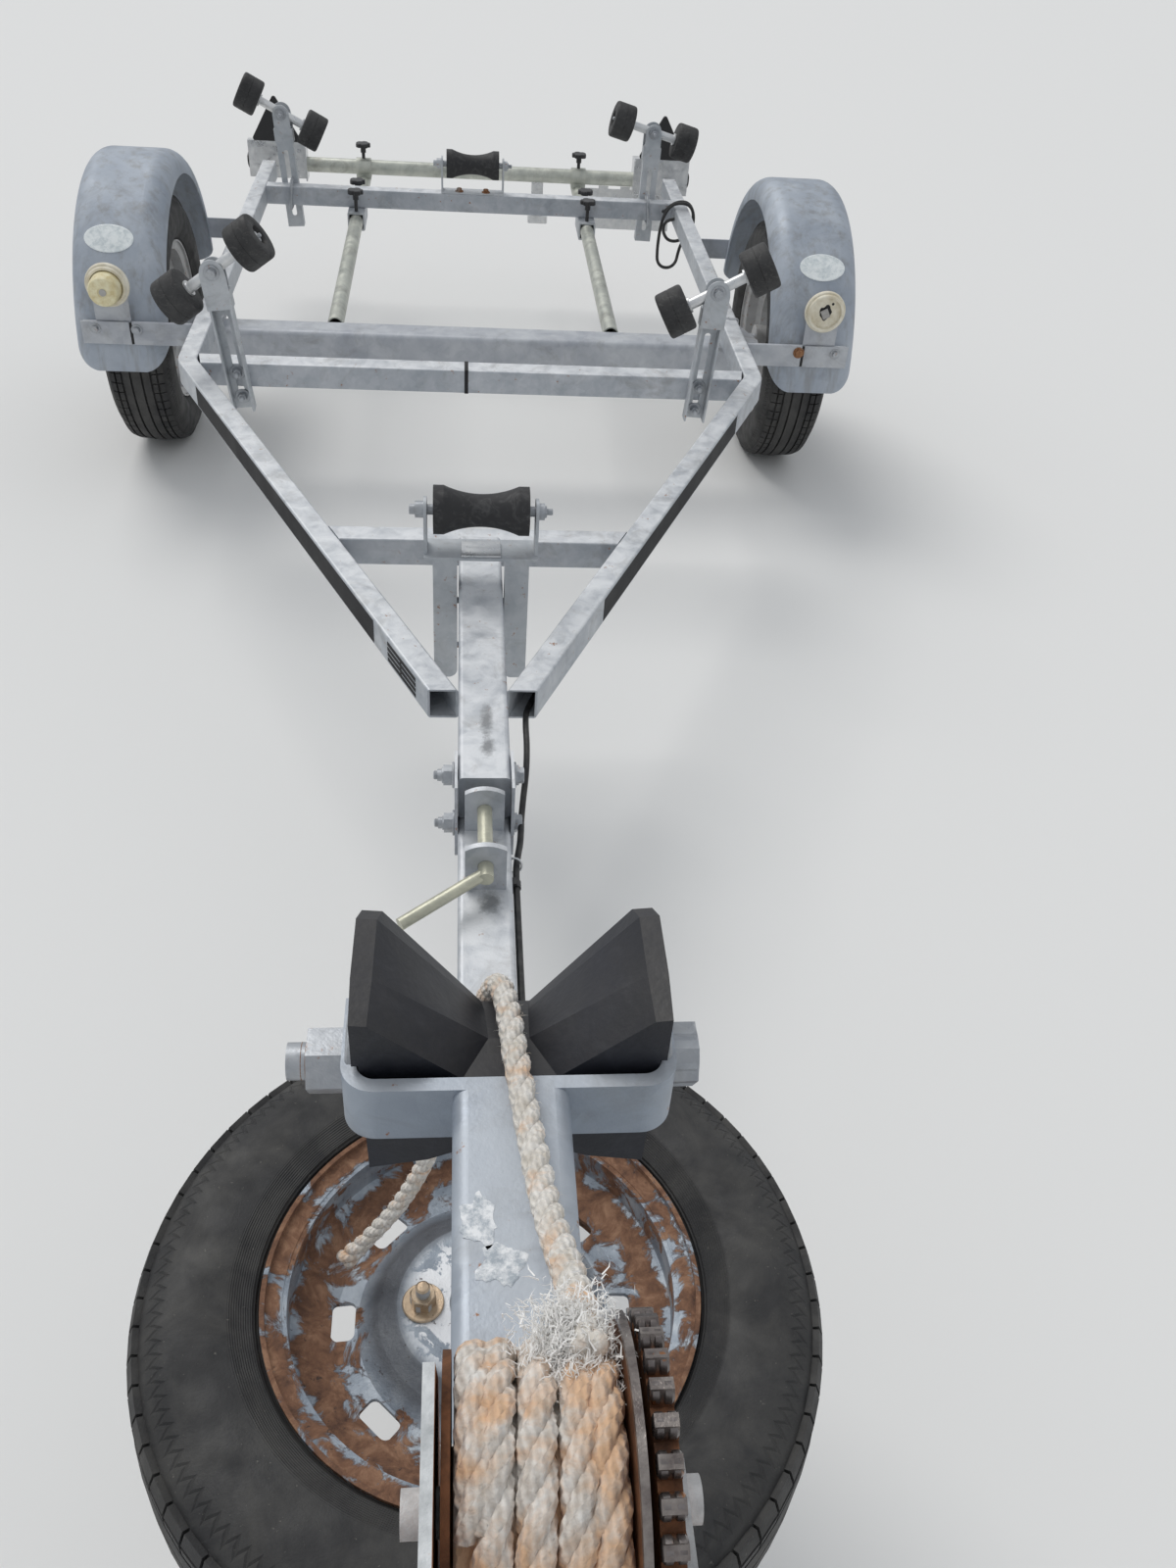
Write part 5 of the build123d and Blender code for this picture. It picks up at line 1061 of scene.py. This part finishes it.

# Marker lamps: stepped cream plastic bases on zinc plates. The left one has a pitted
# yellowed lens with a dull middle; the right one has lost its lens, so its holder shows.
# Black discs on the right base are painted shade for its broken hole and screw hole.
base_form = turned("lamp_base", [
    (0.02, 0), (46, 0), (46, 6.4), (44.6, 8.6), (41.4, 9.2), (41, 15), (39.6, 16.8), (35.6, 17), (34.4, 15.6),
    (34, 8.6), (0.02, 8.4),
], 64)
smooth(base_form, 30)
yellow_lens = speckled("lamp_yellowed_lens", 0.34, (60, 5, 0.65),
                       ((0.35, (0.66, 0.55, 0.28)), (0.65, (0.86, 0.80, 0.55))), (520, 3, 0.6), 0.0012, 0.9)
dull_grey = zinc("holder_tin", (0.55, 0.54, 0.52), (0.34, 0.33, 0.32), mottle=60, rough=0.5, metal=0.5)
# Painted shade: a near-black finish for the discs that stand for the holes' shade.
hole_shade_finish = black("hole_painted_shade", (0.010, 0.010, 0.010), (0.03, 0.03, 0.03), 0.7)
outward = Matrix.Rotation(-pi / 2, 4, "Z")
MARKER_X = 786
lens = turned("marker_lens", [
    (0.02, 8.6), (33, 8.6), (32.6, 40), (31.6, 46.5), (29, 50.8), (25.5, 52.2), (11, 52.4), (9.4, 51.2),
    (0.02, 51.2),
], 56)
smooth(lens, 30)
cap = turned("marker_lens_middle", [(0.02, 51), (7.6, 51), (7.6, 52.2), (6.6, 52.8), (0.02, 52.9)], 28)
smooth(cap, 30)
holder = slab("marker_holder", (0, 0, 0), (1.2, 17, 21), 0.4)
holder.data.transform(Matrix.Translation(-at(0, 0, 0)))
holder.data.transform(Matrix.Rotation(0.5, 4, "X") @ Matrix.Translation((0.0112, -0.010, -0.012)))
# The broken hole: a ragged black disc of painted shade on the base's top.
gap = turned("marker_broken_hole_shade", [(0.02, 8.5), (13.5, 8.5), (13.2, 9.0), (0.02, 9.1)], 22)
for corner in gap.data.vertices:
    wide = 1 + 0.42 * noise.noise(corner.co * 120 + Vector((3, 0, 0)))
    corner.co.y *= wide
    corner.co.z *= wide * 1.15
screw_hole_shade = turned("marker_screw_hole_shade", [(0.02, 8.5), (3, 8.5), (3, 8.9), (0.02, 9)], 16)
screw_hole_shade.data.transform(Matrix.Translation((0, 0.014, 0.020)))
for side, name, extras in (
    (-1, "left", ((lens, yellow_lens), (cap, dull_grey))),
    (1, "right", ((gap, hole_shade_finish), (screw_hole_shade, hole_shade_finish), (holder, dull_grey))),
):
    lie = Matrix.Translation(at(side * MARKER_X, 197.4, 499)) @ outward
    base = copied(base_form, f"marker_base_{name}", lie)
    settle(base, "frame", cream_finish, "lamp_cream", "marker_lamps")
    low, high = side * MARKER_X - 37.6, side * MARKER_X + 37.6
    plate = slab(f"marker_plate_{name}", (low, 197.5, 420.4), (high, 200.3, 518), 0.9)
    settle(plate, "frame", stay_zinc, "galvanised")
    for form, finish in extras:
        settle(copied(form, f"{form.name}_{name}", lie), "frame", finish, "lamp_cream")
for form in (base_form, lens, cap, holder, gap, screw_hole_shade):
    bpy.data.objects.remove(form)

# Badges: a blank oval of pale film on each guard's front, its rim standing up a little,
# bent to the guard's crown.
badge_form = turned("badge", [
    (0.02, 0.7), (12, 0.7), (24, 0.7), (36, 0.7), (46, 0.7), (48, 1.0), (51, 1.0), (52.5, 0.6), (52.5, -0.6),
], 64, closed=False)


def face_out(piece):
    """Turns every face of a closed piece outward."""
    only(piece)
    bpy.ops.object.mode_set(mode="EDIT")
    bpy.ops.mesh.select_all(action="SELECT")
    bpy.ops.mesh.normals_make_consistent(inside=False)
    bpy.ops.object.mode_set(mode="OBJECT")


badge_finish = speckled("badge_film", 0.4, (70, 6, 0.7, 0.5),
                        ((0.36, (0.60, 0.66, 0.68)), (0.56, (0.84, 0.88, 0.88))), (180, 4), 0.0005, 0.5)
GUARD_Y, GUARD_Z, GUARD_R = 572, 289, 0.3803
for x, name in ((-795, "left"), (793, "right")):
    badge = copied(badge_form, f"badge_{name}", Matrix.Identity(4))
    for corner in badge.data.vertices:
        lift, across, along = corner.co.x, corner.co.y, corner.co.z * 0.62
        angle = radians(44.4) + along / 0.38
        reach = GUARD_R + lift
        corner.co = at(x, GUARD_Y, GUARD_Z) + Vector((across, -reach * sin(angle), reach * cos(angle)))
    face_out(badge)
    smooth(badge, 40)
    settle(badge, "frame", badge_finish, "galvanised")
bpy.data.objects.remove(badge_form)

# Arms: a bare black film strip along each arm's outer face, with a small barred patch below
# the left one. A turn of black tape holds the lead under the corner cross member.
film_black = black("strip_film", (0.005, 0.005, 0.006), (0.03, 0.03, 0.032), 0.7, 400, 0.2)


def along_arm(name, start, end, low, high):
    """A film on an arm's outer face, between two places in frame millimetres."""
    start, end = Vector(start), Vector(end)
    run = end - start
    strip = slab(name, (-run.length / 2, -0.25, low), (run.length / 2, 0.25, high), 0.15, 1)
    middle = (start + end) / 2
    strip.data.transform(Matrix.Translation(-at(0, 0, 0)))
    turn = Matrix.Rotation(atan2(run.y, run.x), 4, "Z")
    strip.data.transform(Matrix.Translation(at(middle.x, middle.y, 0)) @ turn)
    return strip


for name, start, end in (
    ("arm_strip_left", (-563.5, -122.3), (-165.9, -978.9)),
    ("arm_strip_right", (588, -69.2), (198.4, -908.6)),
):
    settle(along_arm(name, start, end, 374.5, 415.5), "frame", film_black, "black_plastic")
bars = [along_arm("bar", (-142.2, -1030), (-97.6, -1126), 377 + rise, 383.6 + rise)
        for rise in (0, 9.4, 18.8, 28.2)]
bars.append(along_arm("bar", (-121.8, -1074), (-120, -1078), 377, 412))
settle(joined("arm_patch_left", bars), "frame", film_black, "black_plastic")
settle(slab("cross_tape", (-25, -13.7, 369.3), (-16.5, 37.7, 420.7), 1.2), "frame", film_black,
       "black_plastic")


# Round bars: a wire ring round the right member, U-bolts that clamp the rear uprights to
# their cross member, and the lead's wire eye beside the latch.
def rod(name, route, radius):
    """Round bar along a smooth route, in frame millimetres, made a mesh."""
    line = smooth_line(name, [at(*spot) for spot in route], 8)
    line.data.bevel_depth = radius / 1000
    line.data.bevel_resolution = 3
    line.data.use_fill_caps = True
    only(line)
    bpy.ops.object.convert(target="MESH")
    piece = bpy.context.object
    smooth(piece, 50)
    return piece


loop = [(600, 344, 423), (618, 344.5, 423), (623.4, 345, 420), (623.4, 345.5, 400), (623.4, 346, 372),
        (620, 346, 367.4), (600, 346, 367.2), (580, 346, 367.4), (577.4, 346, 372), (577.4, 347, 400),
        (577.4, 347.5, 420), (582, 348, 423), (602, 348, 423)]
settle(rod("rail_wire_ring", loop, 1.7), "frame", bright_finish, "galvanised")
for x_top, x_low, name in ((-510, -515, "left"), (506, 511, "right")):
    hoop = [(x_top, 1310, 432), (x_top, 1290, 432.5), (x_top, 1262, 432), (x_top, 1250, 428),
            (x_top, 1248.5, 414), (x_low, 1248.5, 380), (x_low, 1248.5, 366), (x_low, 1253, 361),
            (x_low, 1270, 359.5), (x_low, 1290, 359.5), (x_low, 1310, 359.5)]
    settle(rod(f"u_bolt_{name}", hoop, 4.2), "frame", bolt_finish, "bolt_steel")
eye = [(35.2, -1436, 342), (38, -1437, 344.5), (45, -1438, 343), (49.6, -1439, 336), (49.2, -1440, 328),
       (44, -1441, 322.4), (38.6, -1442, 322), (35.2, -1443, 324.5)]
settle(rod("lead_eye", eye, 1.6), "drawbar", bright_finish, "bright_zinc")

# Blots: two splashes of white paint on the top of the winch post's arm. Each is a thin film,
# cut from a disc to a ragged outline.
paint_finish = speckled("splashed_paint", 0.6, (160, 5, 0.7),
                        ((0.40, (0.40, 0.45, 0.50)), (0.60, (0.86, 0.88, 0.90))), (260, 5), 0.0008, 0.7)
ARM_TOP = 970
# Columns: name, X and Y of the middle, length and width in millimetres, the outline's seed
for name, x, y, long, wide, seed in (
    ("paint_blot_far", -22, -2350, 25, 17, 1),
    ("paint_blot_near", -13, -2373, 22, 19, 5),
):
    disc = turned(name, [(0.02, 0), (4, 0), (7, 0), (9, 0), (10, 0), (10, -0.3)], 40, closed=False)
    disc.data.transform(STAND_UP)
    for corner in disc.data.vertices:
        out = corner.co.copy()
        swell = 1
        if out.length > 0.001:
            swell += 0.5 * noise.noise(out.normalized() * 1.6 + Vector((seed, 0, 0)))
            swell += 0.2 * noise.noise(out.normalized() * 5 + Vector((seed, 3, 0)))
        corner.co = Vector((out.x * swell * wide / 20, out.y * swell * long / 20, out.z))
    disc.data.transform(Matrix.Translation(at(x, y, ARM_TOP + 0.2)) @ Matrix.Rotation(pi, 4, "Z"))
    face_out(disc)
    smooth(disc, 60)
    settle(disc, "drawbar", paint_finish, "galvanised")

# Front keel roller: a pale packing plate, cut from galvanised sheet, lies on the base of
# its bracket under the roller.
settle(slab("keel_packing", (-31, -899, 482), (31, -852, 486.5), 1.2), "frame", bright_finish, "galvanised")

bpy.context.view_layer.update()
